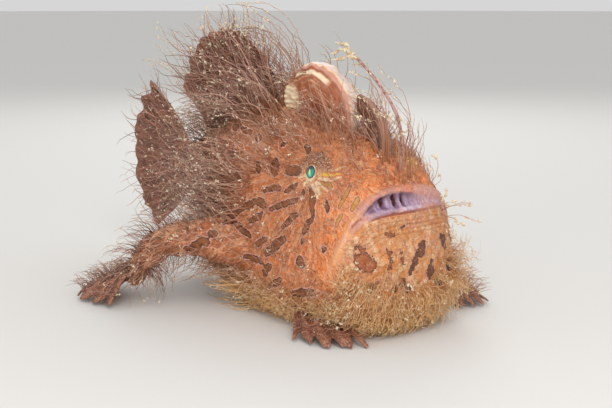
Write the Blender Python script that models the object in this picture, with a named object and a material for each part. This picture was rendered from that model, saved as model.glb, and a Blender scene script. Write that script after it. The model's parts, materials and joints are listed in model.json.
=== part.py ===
"""Life-size model of a striated frogfish of the hairy kind, at rest on a flat floor.

The head looks along +X, the fish's left side is +Y and the floor is z = 0.
Lengths below are in millimetres, and become metres when a mesh is made.
"""

import collections
import math
import random

import bmesh
import bpy
import numpy as np
from mathutils import Vector
from mathutils.bvhtree import BVHTree

MM = 0.001
GAP = 0.3  # clearance that touching pieces keep
SEED = 11

# Body, from the chin (the front) to the root of the tail fin
BODY_LENGTH = 88.0
CHIN_X = 44.6
TAIL_END_X = CHIN_X - BODY_LENGTH
TAIL_BEND = 1.0  # how far the root of the tail fin swings to the left
BODY_SIDES = 28
BODY_RINGS = 26

# Distance behind the chin, then the height of the back, of the belly and of the widest line,
# and half the width there
BODY_OUTLINE = np.array([
    (0.0, 15.0, 15.0, 15.0, 0.0),
    (0.1, 18.0, 12.4, 15.0, 3.0),
    (0.5, 20.8, 10.0, 15.0, 6.4),
    (1.5, 24.6, 6.8, 14.6, 10.0),
    (3.0, 28.0, 4.2, 14.4, 12.9),
    (4.8, 31.6, 2.8, 14.4, 14.6),
    (8.5, 36.9, 1.5, 14.6, 16.4),
    (13.5, 40.6, 0.7, 15.0, 17.6),
    (20.5, 42.8, 0.0, 15.5, 17.9),
    (29.5, 44.6, -0.9, 16.5, 17.4),
    (39.5, 46.0, -1.0, 18.0, 16.4),
    (49.0, 46.4, -0.2, 19.4, 14.6),
    (59.0, 44.6, 4.6, 22.4, 11.4),
    (69.0, 39.8, 12.2, 25.8, 7.2),
    (77.0, 35.4, 17.8, 26.8, 4.8),
    (83.0, 33.4, 20.3, 27.0, 3.5),
    (88.0, 33.2, 20.8, 27.0, 2.9),
])
UPPER_FULLNESS = 0.92
LOWER_FULLNESS = 0.80

# Cuts between the head, the trunk and the tail
NECK_X = 9.0
TAIL_X = -32.0
FAR = 90.0  # further than any piece reaches

# Mouth: an arch across the front of the face, open at the front
MOUTH_HALF_WIDTH = 15.4
MOUTH_CORNER_Z = 17.4
MOUTH_RISE = 12.6
MOUTH_OPEN = 2.3
MOUTH_BACK_X = 27.0
MOUTH_STATIONS = (31.0, 34.0, 37.0)  # between the mouth's back and its front
MOUTH_DEPTH = 9.0  # how far the mouth's room goes on below its corners
MOUTH_FRONT_X = 41.0
MOUTH_CORNER_X = 37.0
THROAT_X = 18.0
THROAT_LOW_Z = -5.0
UPPER_LIP = 1.5
LOWER_LIP = 1.0

# Eyes, the mound of skin and the lid ring round each, and the two nostril tubes on each side
EYE_RADIUS = 2.9
EYE_PLACE = (26.5, 12.1, 34.3)
EYE_AXIS = (0.0, 0.98, 0.17)  # the way the left eye looks
EYE_MOUND = (4.8, 2.9)  # its radius at the foot and at the lid
EYE_RING_RADIUS = 2.15
EYE_RING_WIRE = 0.6
EYE_RING_OUT = 2.3  # distance of the ring's middle from the eye's
EYE_SWELL = 1.3  # how far the skin bulges round an eye
EYE_SWELL_REACH = 4.6
NOSTRILS = [(38.2, 66.0), (36.2, 56.0)]  # station and angle round the body
NOSTRIL_RADIUS = 0.85
NOSTRIL_BORE = 0.4
GILL_PORE = (-10.0, -28.0)  # station and angle
GILL_PORE_RADIUS = 1.1

# The two free spines on the head and the fishing rod: (x, height) along each, then the half
# thickness across the fish and the half thickness along it
THIRD_SPINE = [
    (20.5, 38.0, 3.2, 3.4),
    (20.4, 44.0, 3.6, 4.4),
    (17.8, 48.6, 3.7, 5.2),
    (12.4, 50.8, 3.6, 5.6),
    (6.8, 49.6, 3.2, 4.8),
    (3.0, 47.2, 2.6, 4.0),
    (0.8, 46.2, 1.7, 2.8),
]
SECOND_SPINE = [
    (32.4, 37.0, 2.2, 2.9),
    (31.6, 41.6, 2.1, 2.9),
    (29.6, 45.4, 1.7, 2.5),
    (27.0, 48.2, 1.2, 1.8),
    (25.6, 49.4, 0.5, 0.8),
]
ROD = [(38.0, 0.0, 35.0), (38.8, 0.0, 41.0), (36.8, -0.4, 47.5), (32.0, -1.6, 53.8), (26.6, -2.6, 58.6)]
ROD_RADIUS = 0.45
LURE_WORMS = [(-6.5, 0.5, 2.2), (-5.6, -1.8, -1.2), (-4.6, 2.0, 0.6)]
LURE_RADIUS = 0.6

# Arms: a line of places with a radius each, right then left
RIGHT_ARM = [
    (4.0, -8.0, 15.0, 9.0),
    (-0.5, -15.0, 15.8, 6.6),
    (-5.5, -21.0, 16.4, 4.7),
    (-11.5, -25.8, 15.4, 3.9),
    (-17.0, -28.4, 10.8, 3.2),
    (-19.6, -29.4, 6.2, 2.4),
]
LEFT_ARM = [
    (-1.0, 8.0, 15.0, 9.0),
    (0.0, 15.0, 16.0, 6.6),
    (3.5, 20.6, 16.4, 4.7),
    (9.5, 24.8, 14.0, 3.9),
    (15.5, 26.0, 9.4, 3.2),
    (18.6, 26.2, 5.6, 2.4),
]
TIP_Z = 0.35  # middle of a ray tip that lies flat on the floor
# Hands: where the fan of rays starts, and where its tips touch the floor
RIGHT_HAND = {
    "roots": [(-20.6, -27.6, 7.4), (-20.0, -29.4, 6.0), (-18.2, -31.0, 7.0)],
    "tips": [(-37.5, -25.5, TIP_Z), (-36.0, -33.5, TIP_Z), (-28.5, -39.5, TIP_Z), (-16.5, -38.5, TIP_Z)],
    "rays": 8,
}
LEFT_HAND = {
    "roots": [(17.0, 28.0, 6.6), (18.8, 26.2, 5.4), (18.4, 24.4, 6.4)],
    "tips": [(24.0, 37.0, TIP_Z), (31.5, 35.0, TIP_Z), (36.5, 30.0, TIP_Z), (35.5, 24.0, TIP_Z)],
    "rays": 8,
}
RIGHT_FOOT = {
    "roots": [(17.0, -11.0, 4.6), (19.5, -11.0, 4.4), (22.0, -10.0, 3.6)],
    "tips": [(30.0, -22.5, TIP_Z), (38.5, -20.5, TIP_Z), (44.5, -13.5, TIP_Z)],
    "rays": 5,
}
LEFT_FOOT = {
    "roots": [(15.0, 11.0, 4.6), (17.5, 11.0, 4.4), (20.0, 10.0, 3.8)],
    "tips": [(23.5, 20.5, TIP_Z), (32.0, 19.5, TIP_Z), (38.5, 13.5, TIP_Z)],
    "rays": 5,
}

# Fins on the midline: (x, height) along the root and along the tips
DORSAL_FIN = {
    "roots": [(-3.0, 44.0), (-14.0, 43.0), (-28.5, 35.5)],
    "tips": [(-7.0, 57.0), (-20.0, 63.0), (-35.0, 60.0), (-45.0, 48.0)],
    "rays": 12,
}
ANAL_FIN = {
    "roots": [(-17.0, 10.5), (-23.0, 14.0), (-29.5, 19.0)],
    "tips": [(-21.0, 2.6), (-28.5, 1.8), (-36.0, 5.0), (-40.5, 11.0)],
    "rays": 7,
}
TAIL_FIN = {
    "roots": [(-41.0, 31.6), (-41.3, 27.0), (-41.0, 22.4)],
    "tips": [(-60.5, 48.5), (-68.5, 39.5), (-70.5, 28.0), (-67.5, 16.5), (-60.0, 8.0)],
    "rays": 9,
}
FIN_THICKNESS = (2.2, 0.8)  # at the root and at the tips
RAY_RIDGE = 0.7
FIN_ROWS = 3
FIN_NOTCH = 0.10  # how far the web draws back between two ray tips

# Coat of flat tapered locks. A band gives the span that its roots lie in (stations along the
# body, or a share of a tube's length), the angles round it, how many locks there are, their
# shortest and longest length, and their width. Lift is how steeply a lock leaves the skin, and
# rise how far it then turns up, or down where it is negative.
Band = collections.namedtuple("Band", "span angles number length width lift rise")
# On a fin the roots lie at a share of the rays' length, and sweep turns the locks backwards.
FinBand = collections.namedtuple("FinBand", "reach number length width sweep")


def mirrored(band):
    low, high = band.angles
    return band._replace(angles=(180 - high, 180 - low))


LOCK_THICKNESS = 1.1
LOCK_TAPER = (1.0, 1.0, 0.9, 0.6)
LOCK_SUNK = 1.3
LOCK_CLEARANCE = 0.38
LOCK_CURL = 0.9  # how far the middle of a lock strays to one side
LOCK_TRIES = [(1.0, 1.0), (1.8, 1.0), (1.0, 0.7), (2.4, 0.7), (0.5, 0.6)]  # lift and length
FIN_LOCK_LIFT = 0.35
ON_TUBE = 0.96  # share of a tube's radius at which its locks start
FLOOR_CLEARANCE = 0.7
EYE_CLEARANCE = 6.0
LIP_CLEARANCE = 2.6
SPREAD = (0.7549, 0.5698)  # steps that lay roots out evenly over a band
FLANK = Band((-38, 9), (-50, 44), 26, (9, 13), 4.2, 0.45, 0.25)
TEMPLE = Band((9, 22), (26, 60), 6, (7, 10), 3.4, 0.5, 0.3)
THROAT = Band((8, 30), (-66, -26), 8, (5, 8), 3.0, 0.6, -0.3)
BODY_BANDS = [
    Band((-6, 14), (46, 134), 20, (12, 17), 3.8, 0.7, 0.7),
    Band((-31, -6), (46, 134), 18, (12, 16), 3.8, 0.7, 0.6),
    Band((14, 34), (56, 124), 14, (8, 12), 3.2, 0.7, 0.5),
    FLANK,
    mirrored(FLANK),
    TEMPLE,
    mirrored(TEMPLE),
    THROAT,
    mirrored(THROAT),
    Band((28, 43.6), (188, 352), 26, (5, 8), 2.8, 0.8, -0.6),
]
TUBE_BANDS = {
    "third_spine": Band((0.25, 0.92), (-30, 210), 18, (10, 16), 3.0, 0.4, 0.0),
    "second_spine": Band((0.5, 0.8), (200, 340), 2, (4, 5), 1.8, 0.5, 0.0),
    "arm_right": Band((0.36, 0.9), (0, 360), 14, (5, 8), 2.8, 0.7, 0.0),
    "arm_left": Band((0.36, 0.9), (0, 360), 14, (5, 8), 2.8, 0.7, 0.0),
}
FIN_BANDS = {
    "dorsal_fin": FinBand((0.4, 0.95), 17, (11, 18), 2.8, 0.3),
    "tail_fin": FinBand((0.35, 0.95), 12, (7, 11), 2.8, 0.0),
    "anal_fin": FinBand((0.4, 0.9), 4, (4, 6), 2.2, 0.3),
    "hand_right": FinBand((0.15, 0.5), 3, (3, 4.5), 1.8, 0.0),
    "hand_left": FinBand((0.15, 0.5), 3, (3, 4.5), 1.8, 0.0),
}

COLOURS = {
    "skin": (0.72, 0.33, 0.13),
    "chin": (0.70, 0.42, 0.20),
    "spine": (0.86, 0.62, 0.40),
    "fin": (0.55, 0.27, 0.16),
    "eye": (0.03, 0.30, 0.26),
    "lure": (0.80, 0.66, 0.45),
}


# Scene helpers


def clear_scene():
    for obj in list(bpy.data.objects):
        bpy.data.objects.remove(obj)


def new_collection(name, helper=False):
    made = bpy.data.collections.new(name)
    bpy.context.scene.collection.children.link(made)
    made.hide_render = helper
    return made


def new_material(name, roughness=0.55):
    material = bpy.data.materials.new(name)
    material.use_nodes = True
    shader = material.node_tree.nodes["Principled BSDF"]
    shader.inputs["Base Color"].default_value = (*COLOURS[name], 1.0)
    shader.inputs["Roughness"].default_value = roughness
    shader.inputs["Metallic"].default_value = 0.0
    return material


def new_mesh(name, points, faces):
    """A helper object from points in millimetres, with its faces turned outwards."""
    mesh = bpy.data.meshes.new(name)
    mesh.from_pydata([tuple(p) for p in np.asarray(points) * MM], [], faces)
    shape = bmesh.new()
    shape.from_mesh(mesh)
    bmesh.ops.recalc_face_normals(shape, faces=shape.faces)
    if shape.calc_volume(signed=True) < 0:
        bmesh.ops.reverse_faces(shape, faces=shape.faces)
    shape.to_mesh(mesh)
    shape.free()
    obj = bpy.data.objects.new(name, mesh)
    helpers.objects.link(obj)
    return obj


def copy_of(obj, name):
    copy = obj.copy()
    copy.name = name
    copy.data = obj.data.copy()
    helpers.objects.link(copy)
    return copy


def make_node(obj, name, colour):
    """Turns a helper into one of the model's named nodes."""
    helpers.objects.unlink(obj)
    fish.objects.link(obj)
    obj.name = name
    obj.data.name = name
    obj.data.materials.clear()
    obj.data.materials.append(materials[colour])
    nodes[name] = obj
    return obj


def take_shape(obj):
    """Applies the object's modifiers."""
    bpy.context.view_layer.update()
    graph = bpy.context.evaluated_depsgraph_get()
    shaped = bpy.data.meshes.new_from_object(obj.evaluated_get(graph))
    obj.modifiers.clear()
    obj.data = shaped


def combine(obj, others, operation):
    """Cuts obj by closed meshes, or joins them to it, and removes them."""
    if not others:
        return obj
    operands = new_collection("operands", helper=True)
    for other in others:
        helpers.objects.unlink(other)
        operands.objects.link(other)
    step = obj.modifiers.new(operation.lower(), "BOOLEAN")
    step.operation = operation
    step.operand_type = "COLLECTION"
    step.collection = operands
    step.solver = "MANIFOLD"
    take_shape(obj)
    for other in others:
        bpy.data.objects.remove(other)
    bpy.data.collections.remove(operands)
    keep_largest(obj)
    return obj


def keep_largest(obj):
    """Leaves only the largest closed surface of a mesh."""
    shape = bmesh.new()
    shape.from_mesh(obj.data)
    left = set(shape.verts)
    groups = []
    while left:
        group = [left.pop()]
        for vert in group:
            for edge in vert.link_edges:
                other = edge.other_vert(vert)
                if other in left:
                    left.remove(other)
                    group.append(other)
        groups.append(group)
    groups.sort(key=box_volume, reverse=True)
    loose = [vert for group in groups[1:] for vert in group]
    bmesh.ops.delete(shape, geom=loose, context="VERTS")
    shape.to_mesh(obj.data)
    shape.free()


def box_volume(verts):
    places = np.array([vert.co for vert in verts])
    return float(np.prod(np.ptp(places, axis=0)))


def grown(obj, by=GAP):
    """A copy moved outwards along its normals by some millimetres, to cut a gap with."""
    copy = copy_of(obj, obj.name + "_grown")
    count = len(copy.data.vertices)
    places = np.empty(count * 3, np.float32)
    normals = np.empty(count * 3, np.float32)
    copy.data.vertices.foreach_get("co", places)
    copy.data.vertex_normals.foreach_get("vector", normals)
    copy.data.vertices.foreach_set("co", places + normals * by * MM)
    copy.data.update()
    return copy


# Curves and vectors


def unit(vector):
    vector = np.asarray(vector, float)
    return vector / (np.linalg.norm(vector, axis=-1, keepdims=True) + 1e-12)


def smooth(xs, ys, at):
    """A cubic through points whose slopes are limited, so that it never overshoots them."""
    steps = np.diff(xs)
    slopes = np.diff(ys) / steps
    same_way = slopes[1:] * slopes[:-1] > 0
    total = np.where(same_way, slopes[1:] + slopes[:-1], 1.0)
    tangents = np.concatenate([
        slopes[:1],
        np.where(same_way, 2 * slopes[1:] * slopes[:-1] / total, 0.0),
        slopes[-1:],
    ])
    at = np.clip(at, xs[0], xs[-1])
    k = np.clip(np.searchsorted(xs, at, side="right") - 1, 0, len(steps) - 1)
    t = (at - xs[k]) / steps[k]
    near = (1 + 2 * t) * (1 - t) ** 2 * ys[k] + t * (1 - t) ** 2 * steps[k] * tangents[k]
    far = t * t * (3 - 2 * t) * ys[k + 1] + t * t * (t - 1) * steps[k] * tangents[k + 1]
    return near + far


def flowing_line(points, count):
    """A Catmull-Rom line through points, read at evenly spaced parameters."""
    points = np.asarray(points, float)
    padded = np.vstack([2 * points[0] - points[1], points, 2 * points[-1] - points[-2]])
    at = np.linspace(0, len(points) - 1 - 1e-9, count)
    k = at.astype(int)
    t = (at - k)[:, None]
    a, b, c, d = (padded[k + i] for i in range(4))
    bend = (2 * a - 5 * b + 4 * c - d) * t**2 + (3 * b - a - 3 * c + d) * t**3
    return 0.5 * (2 * b + (c - a) * t + bend)


# Closed shapes from rings


def loft(name, rings):
    """A closed mesh through rings of equal length, each end closed round its middle."""
    count, sides = len(rings), len(rings[0])
    points = [p for ring in rings for p in ring]
    faces = []
    for i in range(count - 1):
        for j in range(sides):
            a, b = i * sides + j, i * sides + (j + 1) % sides
            faces += [(a, b, b + sides), (a, b + sides, a + sides)]
    for end in (0, count - 1):
        points.append(np.mean(rings[end], axis=0))
        middle, start = len(points) - 1, end * sides
        faces += [(middle, start + j, start + (j + 1) % sides) for j in range(sides)]
    return new_mesh(name, points, faces)


def line_frame(line, side):
    """The direction of a line at each of its points, and two directions square to it."""
    forward = unit(np.gradient(line, axis=0))
    side = np.asarray(side, float)
    side = unit(side - forward * (forward @ side)[:, None])
    return forward, side, np.cross(forward, side)


def tube(name, line, across, along, side, sides=10):
    """A tube along a line. Its ring is an ellipse: half-width `across` towards the vector
    `side`, and `along` square to that and to the line."""
    line = np.asarray(line, float)
    forward, side, up = line_frame(line, side)
    angle = np.arange(sides) * 2 * math.pi / sides
    across, along = (np.broadcast_to(np.asarray(r, float), len(line)) for r in (across, along))
    rings = [
        line[i]
        + across[i] * np.cos(angle)[:, None] * side[i]
        + along[i] * np.sin(angle)[:, None] * up[i]
        for i in range(len(line))
    ]
    return loft(name, rings)


def box(name, low, high):
    x0, y0, z0 = low
    x1, y1, z1 = high
    rings = [[(x, y0, z0), (x, y1, z0), (x, y1, z1), (x, y0, z1)] for x in (x0, x1)]
    return loft(name, rings)


def ball(name, centre, radius, across=12, down=7):
    shape = bmesh.new()
    bmesh.ops.create_uvsphere(shape, u_segments=across, v_segments=down, radius=radius * MM)
    bmesh.ops.translate(shape, verts=shape.verts, vec=Vector(centre) * MM)
    mesh = bpy.data.meshes.new(name)
    shape.to_mesh(mesh)
    shape.free()
    obj = bpy.data.objects.new(name, mesh)
    helpers.objects.link(obj)
    return obj


def ring(name, centre, axis, radius, wire, around=14, sides=5):
    """A torus with its hole along an axis."""
    axis = unit(axis)
    u = unit(np.cross(axis, (0.0, 0.0, 1.0)))
    v = np.cross(axis, u)
    points, faces = [], []
    for i in range(around):
        a = 2 * math.pi * i / around
        out = u * math.cos(a) + v * math.sin(a)
        for j in range(sides):
            b = 2 * math.pi * j / sides
            away = out * (radius + wire * math.cos(b)) + axis * wire * math.sin(b)
            points.append(np.array(centre) + away)
            here, beside = i * sides + j, i * sides + (j + 1) % sides
            over, diagonal = (here + sides) % (around * sides), (beside + sides) % (around * sides)
            faces.append((here, beside, diagonal, over))
    return new_mesh(name, points, faces)


# Body


def body_point(x, angle):
    """The skin at a station x and an angle round the body: 0 left, 90 back, 180 right, 270 belly.

    A cross-section is two half superellipses that meet on the widest line. The outline is read
    over the root of the distance behind the chin, which keeps the front round.
    """
    x, angle = np.broadcast_arrays(np.asarray(x, float), np.radians(angle))
    behind = np.sqrt(np.clip(CHIN_X - x, 0, None))
    knots = np.sqrt(BODY_OUTLINE[:, 0])
    back, belly, widest, half_width = (smooth(knots, BODY_OUTLINE[:, k], behind) for k in (1, 2, 3, 4))
    c, s = np.cos(angle), np.sin(angle)
    fullness = np.where(s >= 0, UPPER_FULLNESS, LOWER_FULLNESS)
    y = half_width * np.sign(c) * np.abs(c) ** fullness
    y = y + TAIL_BEND * np.clip(x / TAIL_END_X, 0, None) ** 2
    reach = np.where(s >= 0, back - widest, widest - belly)
    z = widest + reach * np.sign(s) * np.abs(s) ** fullness
    eye_x, eye_y, eye_z = EYE_PLACE
    off = (x - eye_x) ** 2 + (np.abs(y) - eye_y) ** 2 + (z - eye_z) ** 2
    swell = EYE_SWELL * np.exp(-off / (2 * EYE_SWELL_REACH**2))
    y, z = y + 0.8 * swell * np.sign(c), z + 0.6 * swell
    return np.stack([x, y, np.maximum(z, 0)], -1)


def body_normal(x, angle):
    along = body_point(x + 0.2, angle) - body_point(x - 0.2, angle)
    across = body_point(x, angle + 1.5) - body_point(x, angle - 1.5)
    return unit(np.cross(across, along))


def midline_y(x):
    """Where the bent tail puts the fish's middle."""
    return TAIL_BEND * np.clip(np.asarray(x, float) / TAIL_END_X, 0, None) ** 2


def make_body():
    angles = np.arange(BODY_SIDES) * 360.0 / BODY_SIDES
    t = np.linspace(0, 1, BODY_RINGS + 1)[1:]
    stations = CHIN_X - BODY_LENGTH * (0.30 * t + 0.70 * t**2)
    stations = np.concatenate([CHIN_X - np.array([0.08, 0.5]), stations[1:]])
    rings = [body_point(x, angles) for x in stations]
    body = loft("body", rings)
    return body


def skin_hit(tree, start, direction):
    """Where a ray from outside meets the body, in millimetres."""
    place = tree.ray_cast(Vector(start) * MM, Vector(direction))[0]
    return np.array(place) / MM


def tree_of(obj):
    shape = bmesh.new()
    shape.from_mesh(obj.data)
    tree = BVHTree.FromBMesh(shape)
    shape.free()
    return tree


# Mouth


def mouth_block(name, front_opening, back_opening):
    """The room that the lower jaw fills under the arch of the upper lip. The opening is how far
    the block's top stays below the arch, at the front and at the back of the mouth."""
    rings = []
    low = MOUTH_CORNER_Z - MOUTH_DEPTH
    t = np.linspace(0, math.pi, 19)
    for x in (MOUTH_BACK_X + back_opening, *MOUTH_STATIONS, MOUTH_FRONT_X, FAR):
        share = np.clip((x - MOUTH_BACK_X) / (MOUTH_FRONT_X - MOUTH_BACK_X), 0, 1)
        opening = back_opening + (front_opening - back_opening) * share
        half_width = MOUTH_HALF_WIDTH - max(back_opening, 0.25 * opening)
        rise = MOUTH_RISE - opening
        arch = [(x, half_width * math.cos(a), MOUTH_CORNER_Z + rise * math.sin(a)) for a in t]
        rings.append([*arch, (x, -half_width, low), (x, half_width, low)])
    return loft(name, rings)


def throat_block(name, back):
    """The wedge below the mouth's corners: its sloping back runs from corner to throat."""
    outline = [
        (THROAT_X - back, THROAT_LOW_Z),
        (FAR, THROAT_LOW_Z),
        (FAR, MOUTH_CORNER_Z + back),
        (MOUTH_CORNER_X - back, MOUTH_CORNER_Z + back),
    ]
    rings = [[(x, y, z) for x, z in outline] for y in (-FAR, FAR)]
    return loft(name, rings)


def lip_line(tree, half_width, rise, count=17):
    """The line of a lip: an arch in front view, laid on the face."""
    t = np.linspace(0, math.pi, count)
    spots = np.stack([np.full(count, FAR), half_width * np.cos(t), MOUTH_CORNER_Z + rise * np.sin(t)], -1)
    return np.array([skin_hit(tree, spot, (-1, 0, 0)) for spot in spots])


def upper_lip_line(tree):
    return lip_line(tree, MOUTH_HALF_WIDTH + 0.2, MOUTH_RISE + 0.9)


def lower_lip_line(tree):
    return lip_line(tree, MOUTH_HALF_WIDTH - 0.8, MOUTH_RISE - MOUTH_OPEN - 0.3)


def make_jaw(body, tree):
    jaw = copy_of(body, "jaw")
    region = combine(mouth_block("jaw_room", MOUTH_OPEN, GAP), [throat_block("throat", 0.0)], "UNION")
    combine(jaw, [region], "INTERSECT")
    combine(jaw, [tube("lower_lip", lower_lip_line(tree), LOWER_LIP, LOWER_LIP, (1, 0, 0), 7)], "UNION")
    return jaw


def make_head(body, tree):
    head = copy_of(body, "head")
    combine(head, [box("front", (NECK_X + GAP / 2, -FAR, -FAR), (FAR, FAR, FAR))], "INTERSECT")
    line = upper_lip_line(tree)
    lip_places.extend([*line, *lower_lip_line(tree)])
    taper = np.interp(np.linspace(-1, 1, len(line)), [-1, -0.65, 0, 0.65, 1], [0.4, 0.8, 1.0, 0.8, 0.4])
    added = [tube("upper_lip", line, UPPER_LIP * taper, UPPER_LIP * taper, (1, 0, 0), 7)]
    for way in (1, -1):
        outward = unit(EYE_AXIS) * (1, way, 1)
        foot = np.array(EYE_PLACE) * (1, way, 1)
        lid = foot + outward * EYE_RING_OUT
        added.append(tube("eye_mound", [foot, lid], EYE_MOUND, EYE_MOUND, (0, 0, 1), 12))
        added.append(ring("eye_ring", lid, outward, EYE_RING_RADIUS, EYE_RING_WIRE))
        for x, angle in NOSTRILS:
            root = body_point(x, angle) * (1, way, 1)
            out = body_normal(x, angle) * (1, way, 1)
            ends = [root - out, root + out]
            added.append(tube("nostril", ends, NOSTRIL_RADIUS, NOSTRIL_RADIUS, (0, 0, 1), 7))
    combine(head, added, "UNION")
    cuts = [mouth_block("mouth", 0.0, 0.0), throat_block("throat", GAP * 1.3)]
    cuts.append(tube("lip_room", lower_lip_line(tree), LOWER_LIP + GAP, LOWER_LIP + GAP, (1, 0, 0), 7))
    for way in (1, -1):
        cuts.append(ball("socket", np.array(EYE_PLACE) * (1, way, 1), EYE_RADIUS + GAP))
        for x, angle in NOSTRILS:
            root = body_point(x, angle) * (1, way, 1)
            out = body_normal(x, angle) * (1, way, 1)
            ends = [root, root + out * 3]
            cuts.append(tube("bore", ends, NOSTRIL_BORE, NOSTRIL_BORE, (0, 0, 1), 6))
    return combine(head, cuts, "DIFFERENCE")


def make_trunk(body):
    low, high = (TAIL_X + GAP / 2, -FAR, -FAR), (NECK_X - GAP / 2, FAR, FAR)
    trunk = combine(copy_of(body, "trunk"), [box("middle", low, high)], "INTERSECT")
    pores = []
    for way in (1, -1):
        x, angle = GILL_PORE
        mouth, out = body_point(x, angle) * (1, way, 1), body_normal(x, angle) * (1, way, 1)
        ends = [mouth - out * 2.0, mouth + out * 2.0]
        pores.append(tube("gill_pore", ends, GILL_PORE_RADIUS, GILL_PORE_RADIUS, (0, 0, 1), 7))
    return combine(trunk, pores, "DIFFERENCE")


def make_tail(body):
    low, high = (-FAR, -FAR, -FAR), (TAIL_X - GAP / 2, FAR, FAR)
    return combine(copy_of(body, "tail"), [box("rear", low, high)], "INTERSECT")


# Fins


def ray_fin(name, roots, tips, rays, bow=(0, 0, 0), tip_flat=False):
    """A fan of rays with a web between them. Each ray is a ridge on both faces, and the web
    draws back between the tips. Both faces are split into triangles alike."""
    columns = 2 * rays - 1
    roots, tips = flowing_line(roots, columns), flowing_line(tips, columns)
    on_ray = (np.arange(columns) % 2 == 0).astype(float)
    reach = np.linspace(0, 1, FIN_ROWS + 1)
    grid = np.empty((columns, FIN_ROWS + 1, 3))
    for j, r in enumerate(reach):
        r = r * (1 - FIN_NOTCH * (1 - on_ray) * r)
        straight = roots * (1 - r)[:, None] + tips * r[:, None]
        grid[:, j] = straight + (4 * r * (1 - r))[:, None] * np.array(bow)
    out = unit(np.cross(np.gradient(grid, axis=0), np.gradient(grid, axis=1)))
    thick = FIN_THICKNESS[0] + (FIN_THICKNESS[1] - FIN_THICKNESS[0]) * np.sqrt(reach)
    ridge = RAY_RIDGE * on_ray[:, None] * (1 - 0.75 * reach)
    half = (thick + ridge) / 2
    faces_of_fin = [grid + out * half[..., None], grid - out * half[..., None]]
    if tip_flat:
        for side in faces_of_fin:
            side[..., 2] = np.maximum(side[..., 2], 0.0)
    points = np.concatenate([side.reshape(-1, 3) for side in faces_of_fin])
    rows, back = FIN_ROWS + 1, columns * (FIN_ROWS + 1)
    faces = []
    for i in range(columns - 1):
        for j in range(FIN_ROWS):
            a, b, c, d = i * rows + j, (i + 1) * rows + j, (i + 1) * rows + j + 1, i * rows + j + 1
            faces += [(a, b, c), (a, c, d), (back + c, back + b, back + a), (back + d, back + c, back + a)]
    edge = [i * rows for i in range(columns)]
    edge += [(columns - 1) * rows + j for j in range(1, rows)]
    edge += [i * rows + rows - 1 for i in range(columns - 2, -1, -1)]
    edge += list(range(rows - 2, 0, -1))
    for a, b in zip(edge, edge[1:] + edge[:1]):
        faces += [(a, back + a, back + b), (a, back + b, b)]
    return new_mesh(name, points, faces), grid, out


def on_midline(points):
    return [(x, float(midline_y(x)), z) for x, z in points]


def make_fin(name, plan, parents, upright=True, bow=(0, 0, 0)):
    """A fin node: a fan that starts inside its parents and is cut back to clear them."""
    roots, tips = plan["roots"], plan["tips"]
    if upright:
        roots, tips = on_midline(roots), on_midline(tips)
    fin, grid, out = ray_fin(name, roots, tips, plan["rays"], bow, tip_flat=not upright)
    combine(fin, [grown(parent) for parent in parents], "DIFFERENCE")
    make_node(fin, name, "fin")
    fin_grids[name] = (grid, out)


# Spines, lure and arms


def make_spine(name, plan, body):
    plan = flowing_line(plan, 2 * len(plan) - 1)
    line = np.stack([plan[:, 0], 0 * plan[:, 0], plan[:, 1]], -1)
    spine = tube(name, line, plan[:, 2], plan[:, 3], (0, 1, 0), 12)
    tube_forms[name] = (line, plan[:, 2], plan[:, 3], (0, 1, 0))
    combine(spine, [grown(body)], "DIFFERENCE")
    make_node(spine, name, "spine")


def make_rod(body):
    line = flowing_line(ROD, 10)
    rod = tube("rod", line, ROD_RADIUS, ROD_RADIUS, (0, 1, 0), 5)
    worms = []
    for reach in LURE_WORMS:
        end = line[-1]
        middle = end + np.array(reach) * 0.5 + (0, 0, 0.8)
        worm = flowing_line([end + (0.8, 0, -0.3), end, middle, end + np.array(reach)], 6)
        girth = LURE_RADIUS * np.array([0.7, 1.1, 1.3, 1.2, 1.0, 0.6])
        worms.append(tube("worm", worm, girth, girth, (0, 0, 1), 5))
    combine(rod, worms, "UNION")
    combine(rod, [grown(body), *(grown(nodes[n]) for n in ("second_spine", "third_spine"))], "DIFFERENCE")
    make_node(rod, "fishing_rod", "lure")


def make_arm(name, plan, body):
    plan = flowing_line(plan, 2 * len(plan) - 1)
    arm = tube(name, plan[:, :3], plan[:, 3] * 0.92, plan[:, 3], (0, 0, 1), 12)
    tube_forms[name] = (plan[:, :3], plan[:, 3] * 0.92, plan[:, 3], (0, 0, 1))
    combine(arm, [grown(body)], "DIFFERENCE")
    make_node(arm, name, "skin")


def make_eyes():
    for side, way in (("left", 1), ("right", -1)):
        eye = ball("eye", np.array(EYE_PLACE) * (1, way, 1), EYE_RADIUS)
        make_node(eye, "eye_" + side, "eye")


# Coat


def shares(index):
    """The index-th spot of an even spread over a square, as two shares from 0 to 1."""
    return [(0.5 + index * step) % 1.0 for step in SPREAD]


def between(low_high, share):
    low, high = low_high
    return low + (high - low) * share


def lock_line(root, normal, lie, up, length, lift, rise, sunk, curl):
    """The middle of a lock, from under the skin to its tip."""
    s = np.linspace(0, 1, len(LOCK_TAPER))
    heading = unit(lie + normal * lift * (1 - 0.8 * s)[:, None] + up * rise * s[:, None])
    step = length / (len(LOCK_TAPER) - 1)
    line = root + normal * 0.1 + np.vstack([np.zeros(3), np.cumsum(heading[:-1] * step, axis=0)])
    line += unit(np.cross(lie, normal)) * curl * np.sin(math.pi * s)[:, None]
    line = np.vstack([root - normal * sunk, line])
    line[:, 2] = np.maximum(line[:, 2], FLOOR_CLEARANCE + LOCK_THICKNESS / 2)
    return line


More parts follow.
